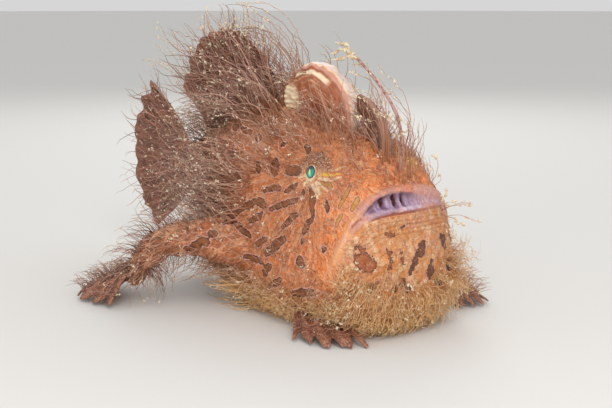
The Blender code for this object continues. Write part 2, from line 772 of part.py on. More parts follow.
def lock_shape(line, across, width, grow=0.0):
    """Points and faces of a lock: a strip with a low ridge, which tapers to a point."""
    forward = unit(np.gradient(line, axis=0))
    ridge = unit(np.cross(across, forward))
    taper = np.array(LOCK_TAPER)[:, None]
    half = width / 2 * taper + 1.3 * grow
    low, high = LOCK_THICKNESS / 3 * taper + grow, LOCK_THICKNESS * 2 / 3 * taper + 1.2 * grow
    rings, tip = line[:-1], line[-1] + forward[-1] * grow
    sides = [
        rings - across * half - ridge[:-1] * low,
        rings + across * half - ridge[:-1] * low,
        rings + ridge[:-1] * high,
    ]
    points = np.vstack([np.stack(sides, axis=1).reshape(-1, 3), tip])
    faces = [(2, 1, 0)]
    last = 3 * (len(rings) - 1)
    for i in range(0, last, 3):
        for a, b in ((0, 1), (1, 2), (2, 0)):
            faces += [(i + a, i + b, i + b + 3), (i + a, i + b + 3, i + a + 3)]
    faces += [(last + a, last + b, len(points) - 1) for a, b in ((0, 1), (1, 2), (2, 0))]
    return points, faces


def far_from(places, centres, clearance):
    centres = np.asarray(centres)
    return all(np.linalg.norm(centres - place, axis=1).min() > clearance for place in places)


def node_tree(names):
    """One search tree over the faces of several nodes."""
    points, faces, start = [], [], 0
    for name in names:
        mesh = nodes[name].data
        points += [tuple(vert.co / MM) for vert in mesh.vertices]
        faces += [tuple(start + i for i in face.vertices) for face in mesh.polygons]
        start = len(points)
    return BVHTree.FromPolygons(points, faces)


class Coat:
    """Grows locks on the nodes, each clear of every other node and of that node's locks."""

    def __init__(self):
        self.skins = {name: node_tree([name]) for name in nodes}
        self.others = {name: node_tree([other for other in nodes if other != name]) for name in nodes}
        self.grown = []
        self.locks = {name: [] for name in nodes}
        self.eyes = [np.array(EYE_PLACE) * (1, way, 1) for way in (1, -1)]

    def owner(self, place):
        """The node whose surface is nearest to a place."""
        return min(self.skins, key=lambda name: self.skins[name].find_nearest(Vector(place))[3])

    def clear(self, name, line, across, width):
        if not far_from(line[1:], self.eyes, EYE_CLEARANCE):
            return False
        points, faces = lock_shape(line, across, width, LOCK_CLEARANCE)
        tree = BVHTree.FromPolygons(list(map(tuple, points)), faces)
        if tree.overlap(self.others[name]):
            return False
        return not any(tree.overlap(other) for owner, other in self.grown if owner != name)

    def grow(self, name, root, normal, lie, up, band, lift, rise, sunk=LOCK_SUNK):
        curl = random.uniform(-LOCK_CURL, LOCK_CURL)
        length = random.uniform(*band.length)
        width = band.width * random.uniform(0.85, 1.1)
        across = unit(np.cross(lie, normal))
        for more_lift, less_length in LOCK_TRIES:
            reach = length * less_length
            line = lock_line(root, normal, lie, up, reach, lift * more_lift, rise, sunk, curl)
            if self.clear(name, line, across, width):
                points, faces = lock_shape(line, across, width)
                self.grown.append((name, BVHTree.FromPolygons(list(map(tuple, points)), faces)))
                self.locks[name].append(new_mesh("lock", points, faces))
                return

    def on_body(self, band):
        for index in range(band.number):
            u, v = shares(index)
            x, angle = between(band.span, u), between(band.angles, v)
            root, normal = body_point(x, angle), body_normal(x, angle)
            if not far_from([root], lip_places, LIP_CLEARANCE) or root[2] < FLOOR_CLEARANCE + LOCK_SUNK:
                continue
            backward = unit(body_point(x - 0.5, angle) - root)
            up = unit(np.array((0, 0, 1.0)) - normal * normal[2] + backward * 0.01)
            self.grow(self.owner(root), root, normal, backward, up, band, band.lift, band.rise)

    def on_tube(self, name, band):
        line, across, along, side = tube_forms[name]
        forward, side, up = line_frame(line, side)
        for index in range(band.number):
            u, v = shares(index)
            k = int(round(between(band.span, u) * (len(line) - 1)))
            angle = math.radians(between(band.angles, v))
            spoke = across[k] * math.cos(angle) * side[k] + along[k] * math.sin(angle) * up[k]
            normal = unit(math.cos(angle) / across[k] * side[k] + math.sin(angle) / along[k] * up[k])
            root = line[k] + spoke * ON_TUBE
            self.grow(name, root, normal, forward[k], np.zeros(3), band, band.lift, band.rise)

    def on_fin(self, name, band):
        grid, out = fin_grids[name]
        columns, rows = grid.shape[0], grid.shape[1]
        for index in range(band.number):
            u, v = shares(index)
            i, r = int(u * columns), between(band.reach, v) * (rows - 1)
            j = int(r)
            root = grid[i, j] * (1 - r + j) + grid[i, j + 1] * (r - j)
            normal = out[i, j] * (1 if index % 2 else -1)
            lie = unit(unit(grid[i, -1] - grid[i, 0]) + np.array((-1.0, 0, 0)) * band.sweep)
            self.grow(name, root, normal, lie, np.zeros(3), band, FIN_LOCK_LIFT, 0.0, 0.0)

    def join(self):
        for name, locks in self.locks.items():
            material = nodes[name].data.materials[0]
            combine(nodes[name], locks, "UNION")
            nodes[name].data.materials.clear()
            nodes[name].data.materials.append(material)


def make_coat():
    coat = Coat()
    for name, band in FIN_BANDS.items():
        coat.on_fin(name, band)
    for name, band in TUBE_BANDS.items():
        coat.on_tube(name, band)
    for band in BODY_BANDS:
        coat.on_body(band)
    coat.join()


def make_fish():
    body = make_body()
    tree = tree_of(body)
    make_node(make_jaw(body, tree), "lower_jaw", "chin")
    make_node(make_head(body, tree), "head", "skin")
    make_node(make_trunk(body), "trunk", "skin")
    make_node(make_tail(body), "tail", "skin")
    make_eyes()
    make_spine("second_spine", SECOND_SPINE, body)
    make_spine("third_spine", THIRD_SPINE, body)
    make_rod(body)
    make_fin("dorsal_fin", DORSAL_FIN, [body], bow=(0, 1.5, 0))
    make_fin("anal_fin", ANAL_FIN, [body], bow=(0, 0.8, 0))
    make_fin("tail_fin", TAIL_FIN, [body], bow=(0, 2.0, 0))
    for side, arm, hand, foot in (
        ("right", RIGHT_ARM, RIGHT_HAND, RIGHT_FOOT),
        ("left", LEFT_ARM, LEFT_HAND, LEFT_FOOT),
    ):
        make_arm("arm_" + side, arm, body)
        make_fin("hand_" + side, hand, [nodes["arm_" + side]], upright=False, bow=(0, 0, 2.0))
        make_fin("foot_" + side, foot, [body], upright=False, bow=(0, 0, 1.2))
    bpy.data.objects.remove(body)
    make_coat()
    for node in nodes.values():
        node.data.shade_smooth()
        node.data.set_sharp_from_angle(angle=math.radians(50))


clear_scene()
fish = new_collection("frogfish")
helpers = new_collection("helpers", helper=True)
materials = {name: new_material(name) for name in COLOURS}
nodes = {}
fin_grids = {}
tube_forms = {}
lip_places = []
random.seed(SEED)
make_fish()
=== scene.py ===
"""Looks of the hairy striated frogfish: skin, eyes, head spines, lure, fins and coat of filaments.

The head looks along +X, the fish's left side is +Y and the floor is z = 0. Shapes are worked out
in millimetres and become metres when a mesh is made.
"""

import collections
import json
import math

import bpy
import numpy as np
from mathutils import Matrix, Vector

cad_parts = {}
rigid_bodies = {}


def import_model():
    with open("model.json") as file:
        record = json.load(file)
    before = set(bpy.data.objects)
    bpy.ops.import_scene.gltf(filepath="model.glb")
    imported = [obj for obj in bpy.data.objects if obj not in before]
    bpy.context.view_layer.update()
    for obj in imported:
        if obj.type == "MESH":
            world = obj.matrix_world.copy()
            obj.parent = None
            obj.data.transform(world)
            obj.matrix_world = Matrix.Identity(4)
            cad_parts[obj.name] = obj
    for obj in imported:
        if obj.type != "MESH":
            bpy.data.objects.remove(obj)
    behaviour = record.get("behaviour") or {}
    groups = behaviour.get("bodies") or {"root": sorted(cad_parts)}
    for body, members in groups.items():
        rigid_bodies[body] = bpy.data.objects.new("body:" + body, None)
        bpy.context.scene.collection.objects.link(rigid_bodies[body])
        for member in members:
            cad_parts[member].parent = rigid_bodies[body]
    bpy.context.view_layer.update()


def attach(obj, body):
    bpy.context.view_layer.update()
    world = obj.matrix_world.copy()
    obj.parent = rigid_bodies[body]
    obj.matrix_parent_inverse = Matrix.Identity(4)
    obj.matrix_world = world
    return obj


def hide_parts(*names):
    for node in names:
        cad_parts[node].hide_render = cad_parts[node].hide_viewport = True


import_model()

bl_info = {
    "name": "Hairy frogfish model",
    "version": (1, 0, 0),
    "blender": (4, 5, 0),
    "location": "3D View > Sidebar > Frogfish",
    "description": "Builds the skin, eyes, spines, fins and coat of a life-size frogfish model",
    "category": "Object",
}

MM = 0.001
SEED = 7

# Body, from the chin to the root of the tail fin: distance behind the chin, then the height of
# the back, of the belly and of the widest line, and half the width there
CHIN_X = 44.6
BODY_LENGTH = 88.0
TAIL_END_X = CHIN_X - BODY_LENGTH
TAIL_BEND = 1.0
BODY_OUTLINE = np.array([
    (0.0, 15.0, 15.0, 15.0, 0.0),
    (0.1, 18.0, 12.4, 15.0, 3.0),
    (0.5, 20.8, 10.0, 15.0, 6.4),
    (1.5, 24.6, 6.8, 14.6, 10.0),
    (3.0, 28.0, 4.2, 14.4, 12.9),
    (4.8, 31.6, 2.8, 14.4, 14.6),
    (8.5, 36.9, 1.5, 14.6, 16.4),
    (13.5, 40.6, 0.7, 15.0, 17.6),
    (20.5, 42.8, 0.0, 15.5, 17.9),
    (29.5, 44.6, -0.9, 16.5, 17.4),
    (39.5, 46.0, -1.0, 18.0, 16.4),
    (49.0, 46.4, -0.2, 19.4, 14.6),
    (59.0, 44.6, 4.6, 22.4, 11.4),
    (69.0, 39.8, 12.2, 25.8, 7.2),
    (77.0, 35.4, 17.8, 26.8, 4.8),
    (83.0, 33.4, 20.3, 27.0, 3.5),
    (88.0, 33.2, 20.8, 27.0, 2.9),
])
UPPER_FULLNESS = 0.92
LOWER_FULLNESS = 0.80
SKIN_SIDES = 300
SKIN_RINGS = 260
FAR = 9.0  # stands for any distance too great to matter

# Mouth: (y, z) from the middle of the face to the corner, for both edges of the gap, for the
# middles of both lips. The folds that hang across the gap are given by y and half width, the
# open slits left between them on the right side
GAP_TOP = [(0.0, 30.7), (5.1, 30.5), (8.4, 29.6), (10.6, 28.1), (12.1, 26.7), (13.5, 25.0)]
GAP_BOTTOM = [(0.0, 27.9), (5.8, 27.9), (9.4, 27.5), (11.2, 26.8), (12.3, 26.0), (13.5, 24.8)]
UPPER_LIP = [(0.0, 31.3), (5.0, 30.9), (8.9, 29.6), (11.5, 27.7), (13.2, 25.6), (14.6, 22.9), (15.6, 20.1)]
LIP_FOLD = [(16.3, 17.4), (16.9, 14.4)]
# MOUTH_CORNER: where the lips meet at each corner, the line that a painted shade line follows
MOUTH_CORNER = [(12.3, 26.2), (13.0, 25.7), (13.5, 25.2), (13.9, 24.7), (14.3, 23.8), (14.7, 22.8)]
LOWER_LIP = [(0.0, 27.3), (5.8, 27.3), (9.2, 27.0), (11.2, 26.3), (12.5, 25.4), (13.7, 24.2)]
FOLDS = [
    (-12.0, 0.80), (-10.9, 0.55), (-8.9, 0.60), (-7.85, 0.45), (-5.9, 0.62), (-4.95, 0.50),
    (-2.85, 0.72), (-0.7, 0.65), (0.5, 0.55), (1.6, 0.70), (3.0, 0.60), (4.1, 0.50),
    (5.6, 0.85), (7.5, 0.70), (8.9, 0.55), (10.3, 0.75), (11.6, 0.50),
]
FOLD_SINK = 0.7
# Share of the gap that stays open at each y: on the left the upper lip hangs over it as a pad
GAP_OPEN = [
    (-13.5, 0.3), (-12.0, 0.2), (-11.2, 0.35), (-10.4, 0.8), (-9.2, 1.0), (-2.0, 1.0),
    (1.0, 0.8), (4.0, 0.5), (7.0, 0.3), (10.0, 0.22), (13.5, 0.4),
]
MOUTH_HALF = 13.5
MOUTH_DEPTH = 2.1

# Eyes
EYE_RADIUS = 2.9
EYE_PLACE = np.array((26.5, 12.1, 34.3))
EYE_AXIS = np.array((0.0, 0.98, 0.17))
EYE_MOUND = (4.8, 2.7)
EYE_LID_RADIUS = 2.0
EYE_LID_WIRE = 0.5
EYE_LID_OUT = 2.3
EYE_SWELL = 1.3
EYE_SWELL_REACH = 4.6
PUPIL_RADIUS = 1.36

# Head spines, fishing rod and arms, as in the solids
THIRD_SPINE = [
    (20.5, 38.0, 3.2, 3.4),
    (20.4, 44.0, 3.6, 4.4),
    (17.8, 48.6, 3.7, 5.2),
    (12.4, 50.8, 3.6, 5.6),
    (6.8, 49.6, 3.2, 4.8),
    (3.0, 47.2, 2.6, 4.0),
    (0.8, 46.2, 1.7, 2.8),
]
SECOND_SPINE = [
    (32.4, 37.0, 2.2, 2.9),
    (31.6, 41.6, 2.1, 2.9),
    (29.6, 45.4, 1.7, 2.5),
    (27.0, 48.2, 1.2, 1.8),
    (25.6, 49.4, 0.5, 0.8),
]
ROD = [(38.0, 0.0, 35.0), (38.8, 0.0, 41.0), (36.8, -0.4, 47.5), (32.0, -1.6, 53.8), (26.6, -2.6, 58.6)]
ROD_RADIUS = 0.34
LURE_WORMS = [(-6.5, 0.5, 2.2), (-5.6, -1.8, -1.2), (-4.6, 2.0, 0.6), (-6.0, -0.6, 0.4)]
RIGHT_ARM = [
    (4.0, -8.0, 15.0, 9.0),
    (-0.5, -15.0, 15.8, 6.6),
    (-5.5, -21.0, 16.4, 4.7),
    (-11.5, -25.8, 15.4, 3.9),
    (-17.0, -28.4, 10.8, 3.2),
    (-19.6, -29.4, 6.2, 2.4),
]
LEFT_ARM = [
    (-1.0, 8.0, 15.0, 9.0),
    (0.0, 15.0, 16.0, 6.6),
    (3.5, 20.6, 16.4, 4.7),
    (9.5, 24.8, 14.0, 3.9),
    (15.5, 26.0, 9.4, 3.2),
    (18.6, 26.2, 5.6, 2.4),
]
TIP_Z = 0.5

# Fins: where the fan starts, where its tips lie, the number of rays, the bow of the sheet, how
# far the web draws back between the tips, and the thickness of web and ray
Fin = collections.namedtuple("Fin", "roots tips rays bow notch web ray")
FINS = {
    "hand_right": Fin(
        [(-20.6, -27.6, 7.4), (-20.0, -29.4, 6.0), (-18.2, -31.0, 7.0)],
        [(-37.5, -25.5, TIP_Z), (-36.0, -33.5, TIP_Z), (-28.5, -39.5, TIP_Z), (-16.5, -38.5, TIP_Z)],
        8, (0, 0, 2.2), 0.13, 0.7, 1.2,
    ),
    "hand_left": Fin(
        [(17.0, 28.0, 6.6), (18.8, 26.2, 5.4), (18.4, 24.4, 6.4)],
        [(24.0, 37.0, TIP_Z), (31.5, 35.0, TIP_Z), (36.5, 30.0, TIP_Z), (35.5, 24.0, TIP_Z)],
        8, (0, 0, 2.2), 0.13, 0.7, 1.2,
    ),
    "foot_right": Fin(
        [(17.0, -11.0, 4.6), (19.5, -11.0, 4.4), (22.0, -10.0, 3.6)],
        [(30.0, -22.5, TIP_Z), (38.5, -20.5, TIP_Z), (44.5, -13.5, TIP_Z)],
        5, (0, 0, 1.4), 0.14, 0.7, 1.2,
    ),
    "foot_left": Fin(
        [(15.0, 11.0, 4.6), (17.5, 11.0, 4.4), (20.0, 10.0, 3.8)],
        [(23.5, 20.5, TIP_Z), (32.0, 19.5, TIP_Z), (38.5, 13.5, TIP_Z)],
        5, (0, 0, 1.4), 0.14, 0.7, 1.2,
    ),
    "dorsal_fin": Fin(
        [(-3.0, 0, 43.0), (-14.0, 0.1, 42.0), (-28.5, 0.4, 34.5)],
        [(-7.0, 0, 57.0), (-20.0, 0.2, 63.0), (-35.0, 0.7, 60.0), (-45.0, 1.1, 48.0)],
        12, (0, 1.5, 0), 0.025, 0.5, 1.2,
    ),
    "anal_fin": Fin(
        [(-17.0, 0.2, 11.5), (-23.0, 0.3, 15.0), (-29.5, 0.5, 20.0)],
        [(-21.0, 0.2, 2.6), (-28.5, 0.4, 1.8), (-36.0, 0.7, 5.0), (-40.5, 0.9, 11.0)],
        7, (0, 0.8, 0), 0.03, 0.5, 1.2,
    ),
    "tail_fin": Fin(
        [(-40.6, 0.9, 31.6), (-40.9, 0.9, 27.0), (-40.6, 0.9, 22.4)],
        [(-60.5, 1.9, 48.5), (-68.5, 2.5, 39.5), (-70.5, 2.6, 28.0), (-67.5, 2.4, 16.5), (-60.0, 1.9, 8.0)],
        9, (0, 2.0, 0), 0.025, 0.5, 1.2,
    ),
}

# Dark blotches on each cheek, as station and angle of both ends on the right side, and half width
CHEEK_BLOTCHES = [
    (13.1, 140.4, 14.7, 145.6, 1.42),
    (18.7, 141.6, 23.1, 139.6, 1.15),
    (7.9, 145.6, 8.7, 148.8, 0.95),
    (12.4, 156.0, 17.5, 151.6, 0.72),
    (20.0, 152.0, 23.3, 146.8, 0.62),
    (24.1, 153.2, 15.6, 162.8, 0.70),
    (10.7, 162.0, 13.3, 162.8, 1.00),
    (25.0, 159.6, 20.6, 167.6, 0.80),
    (28.1, 146.8, 29.6, 156.8, 0.80),
    (29.3, 159.6, 27.5, 166.4, 0.85),
    (25.3, 150.0, 25.7, 148.4, 0.42),
    (27.1, 144.6, 27.3, 145.8, 0.25),
    (32.2, 146.8, 33.1, 152.0, 0.40),
    (21.6, 172.8, 14.9, 181.2, 1.10),
    (27.0, 178.0, 27.1, 180.0, 1.15),
    (27.1, 170.0, 27.1, 171.2, 0.55),
    (33.4, 169.6, 33.7, 170.8, 0.55),
    (37.2, 194.8, 40.0, 189.6, 1.00),
    (23.4, 202.8, 30.4, 196.0, 0.98),
    (13.0, 194.6, 15.8, 187.6, 0.95),
    (10.9, 180.4, 14.5, 176.0, 0.80),
    (4.9, 220.8, 7.3, 217.6, 1.00),
    (-0.9, 175.7, 4.8, 168.8, 0.72),
    (4.8, 168.8, 10.0, 162.6, 0.85),
    (12.9, 129.2, 13.9, 128.3, 0.80),
    (12.9, 166.8, 8.3, 172.8, 0.85),
    (2.2, 178.0, 8.5, 178.4, 0.80),
    (6.3, 188.8, 13.2, 186.8, 0.75),
    (14.8, 203.2, 19.7, 194.0, 0.78),
]
# Long olive blotches between the eye and the mouth, in the same way
OLIVE_BLOTCHES = [
    (35.4, 131.6, 35.1, 146.0, 0.52),
    (37.4, 133.2, 37.4, 141.6, 0.56),
    (36.1, 148.8, 35.5, 156.0, 0.48),
    (29.7, 140.2, 31.6, 139.2, 0.50),
    (31.4, 138.2, 32.0, 139.8, 0.62),
]
# Light rays round the eye, cream and then gold
CREAM_RAYS = [
    (27.9, 134.8, 31.2, 130.4, 0.10),
    (31.2, 130.4, 32.7, 123.2, 0.05),
    (28.9, 138.8, 31.7, 136.4, 0.21),
    (31.7, 136.4, 33.2, 130.8, 0.10),
    (28.6, 142.4, 30.2, 145.6, 0.26),
    (28.7, 141.2, 31.6, 142.8, 0.13),
    (28.0, 143.6, 29.9, 148.4, 0.27),
    (26.1, 143.2, 25.5, 146.4, 0.10),
    (25.1, 141.2, 23.4, 143.4, 0.06),
]
GOLD_RAYS = [(28.8, 136.9, 31.3, 133.8, 0.30), (31.3, 133.8, 32.8, 129.6, 0.12)]
GLOW = (35.0, 5.2, 37.2)  # gold shine on the left of the forehead
NOSTRILS = [(38.2, 66), (36.2, 56), (38.2, 114), (36.2, 124)]
GILL_PORES = [(-10, -28), (-10, 208)]
# Dark blotches on the chin, as the y and z of both ends, and half width
CHIN_BLOTCHES = [
    (-13.2, 18.2, -12.2, 17.0, 1.90),
    (-13.6, 20.6, -12.6, 19.4, 0.60),
    (1.3, 20.1, -0.4, 17.9, 1.00),
    (-0.6, 17.9, -3.0, 14.6, 0.80),
    (3.4, 16.1, 3.2, 12.5, 0.66),
    (-8.3, 23.0, -6.2, 22.6, 0.30),
    (-8.0, 20.5, -7.7, 16.3, 0.50),
    (-7.1, 11.0, -5.6, 12.1, 0.55),
    (-10.8, 13.2, -12.2, 11.9, 0.60),
    (-4.8, 13.3, -3.0, 10.9, 0.60),
    (-4.6, 23.9, -1.8, 24.4, 0.30),
    (-5.0, 19.5, -4.7, 17.0, 0.40),
    (7.4, 21.2, 8.8, 18.4, 0.80),
    (9.6, 15.4, 10.8, 13.6, 0.90),
    (5.6, 11.6, 7.4, 10.4, 0.55),
    (12.6, 20.0, 13.4, 18.2, 0.70),
]

NOSTRIL = (0.62, 0.34)  # radius of the hole and of its rim
GILL_PORE = (0.9, 0.4)

# Coat. A region gives the stations, the angles round the body and the heights that its roots lie
# in, how many filaments it has, their shortest and longest length, their radius at the root, how
# steeply they leave the skin, how far they then turn up, how much they curl, and their specks
Region = collections.namedtuple("Region", "stations angles heights number length girth lift rise curl specks")
ALL_HEIGHTS = (-5, 80)


def other_side(region):
    """The region of the left side that matches one of the right side."""
    low, high = region.angles
    return region._replace(angles=(180 - high, 180 - low))


FLANK = Region((-42, 10), (138, 236), (1, 60), 900, (4, 13), 0.085, 1.0, 0.05, 0.9, 0.9)
CHEEK = Region((9, 37), (122, 196), (9, 60), 420, (2, 5.5), 0.05, 0.15, 0.0, 0.5, 0.15)
TEMPLE = Region((6, 20), (112, 150), (20, 60), 60, (5, 9), 0.09, 0.8, 0.1, 0.8, 0.6)
THROAT = Region((-20, 36), (190, 262), (0.6, 14), 1250, (2.4, 5.5), 0.062, 0.9, -0.3, 2.4, 0.25)
HAND = Region((0.05, 0.95), None, None, 190, (2, 5.5), 0.07, 1.0, 0.3, 0.9, 0.3)
FOOT = Region((0.1, 0.95), None, None, 110, (1.5, 4), 0.065, 1.0, 0.2, 0.9, 0.1)
COAT = {
    "coat_crown": [
        Region((12, 36), (56, 124), ALL_HEIGHTS, 190, (4, 12), 0.085, 0.9, 0.1, 0.9, 0.4),
        Region((20, 41), (40, 140), ALL_HEIGHTS, 260, (2.5, 6.5), 0.055, 0.25, 0.0, 0.8, 0.1),
        Region((-6, 9), (52, 128), ALL_HEIGHTS, 120, (9, 17), 0.11, 1.1, 0.1, 1.0, 1.2),
        Region((-6, 9), (62, 118), ALL_HEIGHTS, 34, (17, 26), 0.12, 2.2, -0.1, 1.0, 3.0),
        Region((33, 41), (55, 125), ALL_HEIGHTS, 40, (2, 4.5), 0.08, 1.0, 0.1, 1.2, 0.3),
    ],
    "coat_back": [
        Region((-38, -4), (45, 135), ALL_HEIGHTS, 330, (7, 18), 0.095, 0.9, 0.1, 1.0, 1.2),
    ],
    "coat_flank_right": [FLANK],
    "coat_flank_left": [other_side(FLANK)],
    "coat_cheeks": [CHEEK, other_side(CHEEK), TEMPLE, other_side(TEMPLE)],
    "coat_chin": [
        Region((33, 44.55), (150, 390), (0.6, 17), 1350, (2.5, 5.5), 0.062, 1.1, -0.35, 2.6, 0.2),
        Region((30, 44), (-60, 14), (3, 26), 380, (3.5, 8), 0.055, 2.2, -0.25, 2.6, 0.2),
        Region((30, 44), (168, 240), (3, 24), 200, (2, 4.5), 0.06, 1.3, -0.2, 2.4, 0.2),
        Region((37, 44.55), (150, 390), (12, 25), 200, (1.0, 2.6), 0.05, 0.8, -0.4, 1.6, 0.2),
    ],
    "coat_throat": [THROAT, other_side(THROAT)],
}
LIMB_COAT = {
    "arm_right": Region((0.22, 0.99), (0, 360), None, 520, (2, 9), 0.075, 1.1, 0.2, 0.9, 0.4),
    "arm_left": Region((0.22, 0.99), (0, 360), None, 420, (2, 8.5), 0.075, 1.3, 0.35, 0.9, 0.4),
}
SPINE_COAT = {
    "third_spine": Region((0.05, 0.9), (-60, 240), None, 90, (7, 13), 0.10, 0.5, 0.0, 0.7, 0.3),
    "second_spine": Region((0.1, 0.9), (0, 360), None, 50, (3, 7), 0.08, 0.7, 0.1, 0.9, 0.25),
}
FIN_COAT = {
    "dorsal_fin": Region((0.05, 0.99), None, None, 420, (5, 14), 0.09, 0.5, 0.1, 0.9, 0.9),
    "anal_fin": Region((0.1, 0.9), None, None, 90, (3, 6), 0.08, 0.5, -0.1, 0.9, 0.3),
    "tail_fin": Region((0.05, 0.99), None, None, 330, (4, 10), 0.09, 0.5, 0.1, 0.9, 0.5),
    "hand_right": HAND,
    "hand_left": HAND,
    "foot_right": FOOT,
    "foot_left": FOOT,
}
# Ridged lobe on each side of the hump's rear end: x and z of its middle, half its length and
# height, and the pitch of its ridges
LOBE = (6.1, 48.0, 3.3, 3.9)
LOBE_PITCH = 1.07
# Long arching filaments: the points that each passes through from root to tip, and its radius
STREAMERS = [
    ([(36.4, -1.6, 35.4), (35.4, -1.6, 44.0), (33.6, -1.5, 49.9), (29.5, -1.5, 53.7), (23.7, -1.5, 54.9)], 0.19),
    ([(36.6, -3.4, 35.0), (36.6, -3.2, 43.0), (35.0, -3.0, 47.2), (32.7, -3.0, 48.4), (26.7, -3.0, 50.4)], 0.15),
    ([(40.4, -1.4, 32.6), (40.4, -1.0, 39.0), (39.3, -1.0, 43.0), (36.8, -1.0, 45.6), (33.7, -1.0, 46.4)], 0.14),
    ([(39.6, 1.6, 33.4), (39.6, 1.5, 39.0), (38.9, 1.5, 44.3), (36.1, 1.5, 45.4)], 0.12),
    ([(36.0, 3.4, 36.2), (36.6, 3.8, 48.5), (27.6, 3.6, 56.4)], 0.12),
    ([(3.0, 2.0, 46.0), (3.0, 2.0, 55.0), (-0.6, 2.0, 62.7), (-10.4, 2.0, 67.6), (-24.1, 2.0, 69.0)], 0.15),
    ([(7.0, -1.0, 46.0), (6.4, -1.0, 55.0), (1.0, -1.0, 61.5), (-4.5, -1.0, 64.8), (-14.1, -1.0, 68.6)], 0.15),
    ([(2.0, 1.0, 46.0), (1.4, 1.0, 56.0), (-7.9, 1.0, 63.3), (-13.6, 1.0, 65.9), (-18.2, 1.0, 67.1)], 0.13),
    ([(6.0, -2.4, 45.6), (4.8, -2.0, 55.0), (-5.4, -2.0, 62.1), (-14.2, -2.0, 62.9), (-22.6, -2.0, 63.6)], 0.15),
    ([(-1.0, 0.5, 46.0), (-3.0, 0.5, 55.0), (-13.0, 0.5, 60.8), (-20.8, 0.5, 62.2), (-27.0, 0.5, 61.8)], 0.13),
    ([(-6.0, -1.4, 45.6), (-13.5, -1.0, 52.7), (-22.7, -1.0, 56.9), (-35.3, -1.0, 60.2), (-45.1, -1.0, 62.1)], 0.15),
    ([(-22.0, 0.5, 39.0), (-29.7, 0.5, 51.8), (-39.7, 0.5, 56.3), (-44.9, 0.5, 57.8), (-55.6, 0.5, 60.8)], 0.12),
    ([(-24.0, -3.0, 36.0), (-32.0, -2.8, 43.6), (-40.7, -2.5, 50.2), (-48.0, -2.5, 53.0), (-56.8, -2.5, 54.2)], 0.13),
    ([(9.0, -9.6, 38.6), (5.5, -9.4, 40.8), (-3.0, -9.0, 45.1), (-9.7, -9.0, 45.4), (-16.1, -9.0, 44.2)], 0.14),
    ([(36.0, 9.0, 30.4), (37.6, 9.0, 30.6), (40.0, 9.0, 33.0), (40.4, 9.0, 35.8), (38.9, 9.0, 37.3)], 0.11),
    ([(36.6, 10.4, 27.6), (39.6, 10.2, 27.8), (41.7, 10.0, 28.6), (42.2, 10.0, 30.2)], 0.11),
    ([(37.0, 10.6, 23.8), (40.8, 10.5, 25.6), (44.4, 10.5, 27.4), (48.9, 10.5, 28.3)], 0.13),
    ([(37.0, 11.2, 22.8), (40.0, 11.0, 23.7), (42.9, 11.0, 23.9), (46.6, 11.0, 22.8)], 0.12),
]
STREAMER_RINGS = 26
STREAMER_CRUMBS = 12
STREAMER_TUFT = 3
FILAMENT_RINGS = 11
FILAMENT_SIDES = 3
FLOOR_GAP = 0.25
COAT_TOP = 65.5  # above this height filaments bend over
COAT_TOP_ROOM = 3.8
BAKE_PATCH = 0.003
DOME_TURNS = np.radians((25, 50, 72))

# Camera and room
VIEW_TARGET = np.array((3.4404, 3.4750, 22.7211))
FLOOR_SIDES = 96
FLOOR_RINGS = (1.0, 300.0, 1200.0, 5000.0)
ROOM_GREY = 0.82
LENS, SENSOR_WIDTH = 70, 36


def screen(red, green, blue):
    """A colour given from 0 to 255 as on a screen, as linear red, green and blue."""
    share = np.array((red, green, blue)) / 255
    return tuple(float(c) for c in np.where(share < 0.04, share / 12.92, ((share + 0.055) / 1.055) ** 2.4))


# Properties


def length(name, text, default):
    return bpy.props.FloatProperty(name=name, description=text, default=default * MM, unit="LENGTH", precision=5)


def colour(name, text, *default):
    return bpy.props.FloatVectorProperty(
        name=name, description=text, default=screen(*default), size=3, min=0, max=1, subtype="COLOR"
    )


class FrogfishSizes(bpy.types.PropertyGroup):
    skin_cell: length("Skin cell", "Side of the cells that the skin is joined in", 0.38)
    upper_lip: length("Upper lip", "Radius of the upper lip at its middle", 0.78)
    lower_lip: length("Lower lip", "Radius of the lower lip at its middle", 0.66)
    filament_share: bpy.props.FloatProperty(
        name="Coat density", description="Share of the filaments that are grown", default=1.0, min=0.05, max=1.5
    )
    filament_girth: bpy.props.FloatProperty(
        name="Filament girth", description="Factor on the radius of every filament", default=1.0, min=0.3, max=3
    )


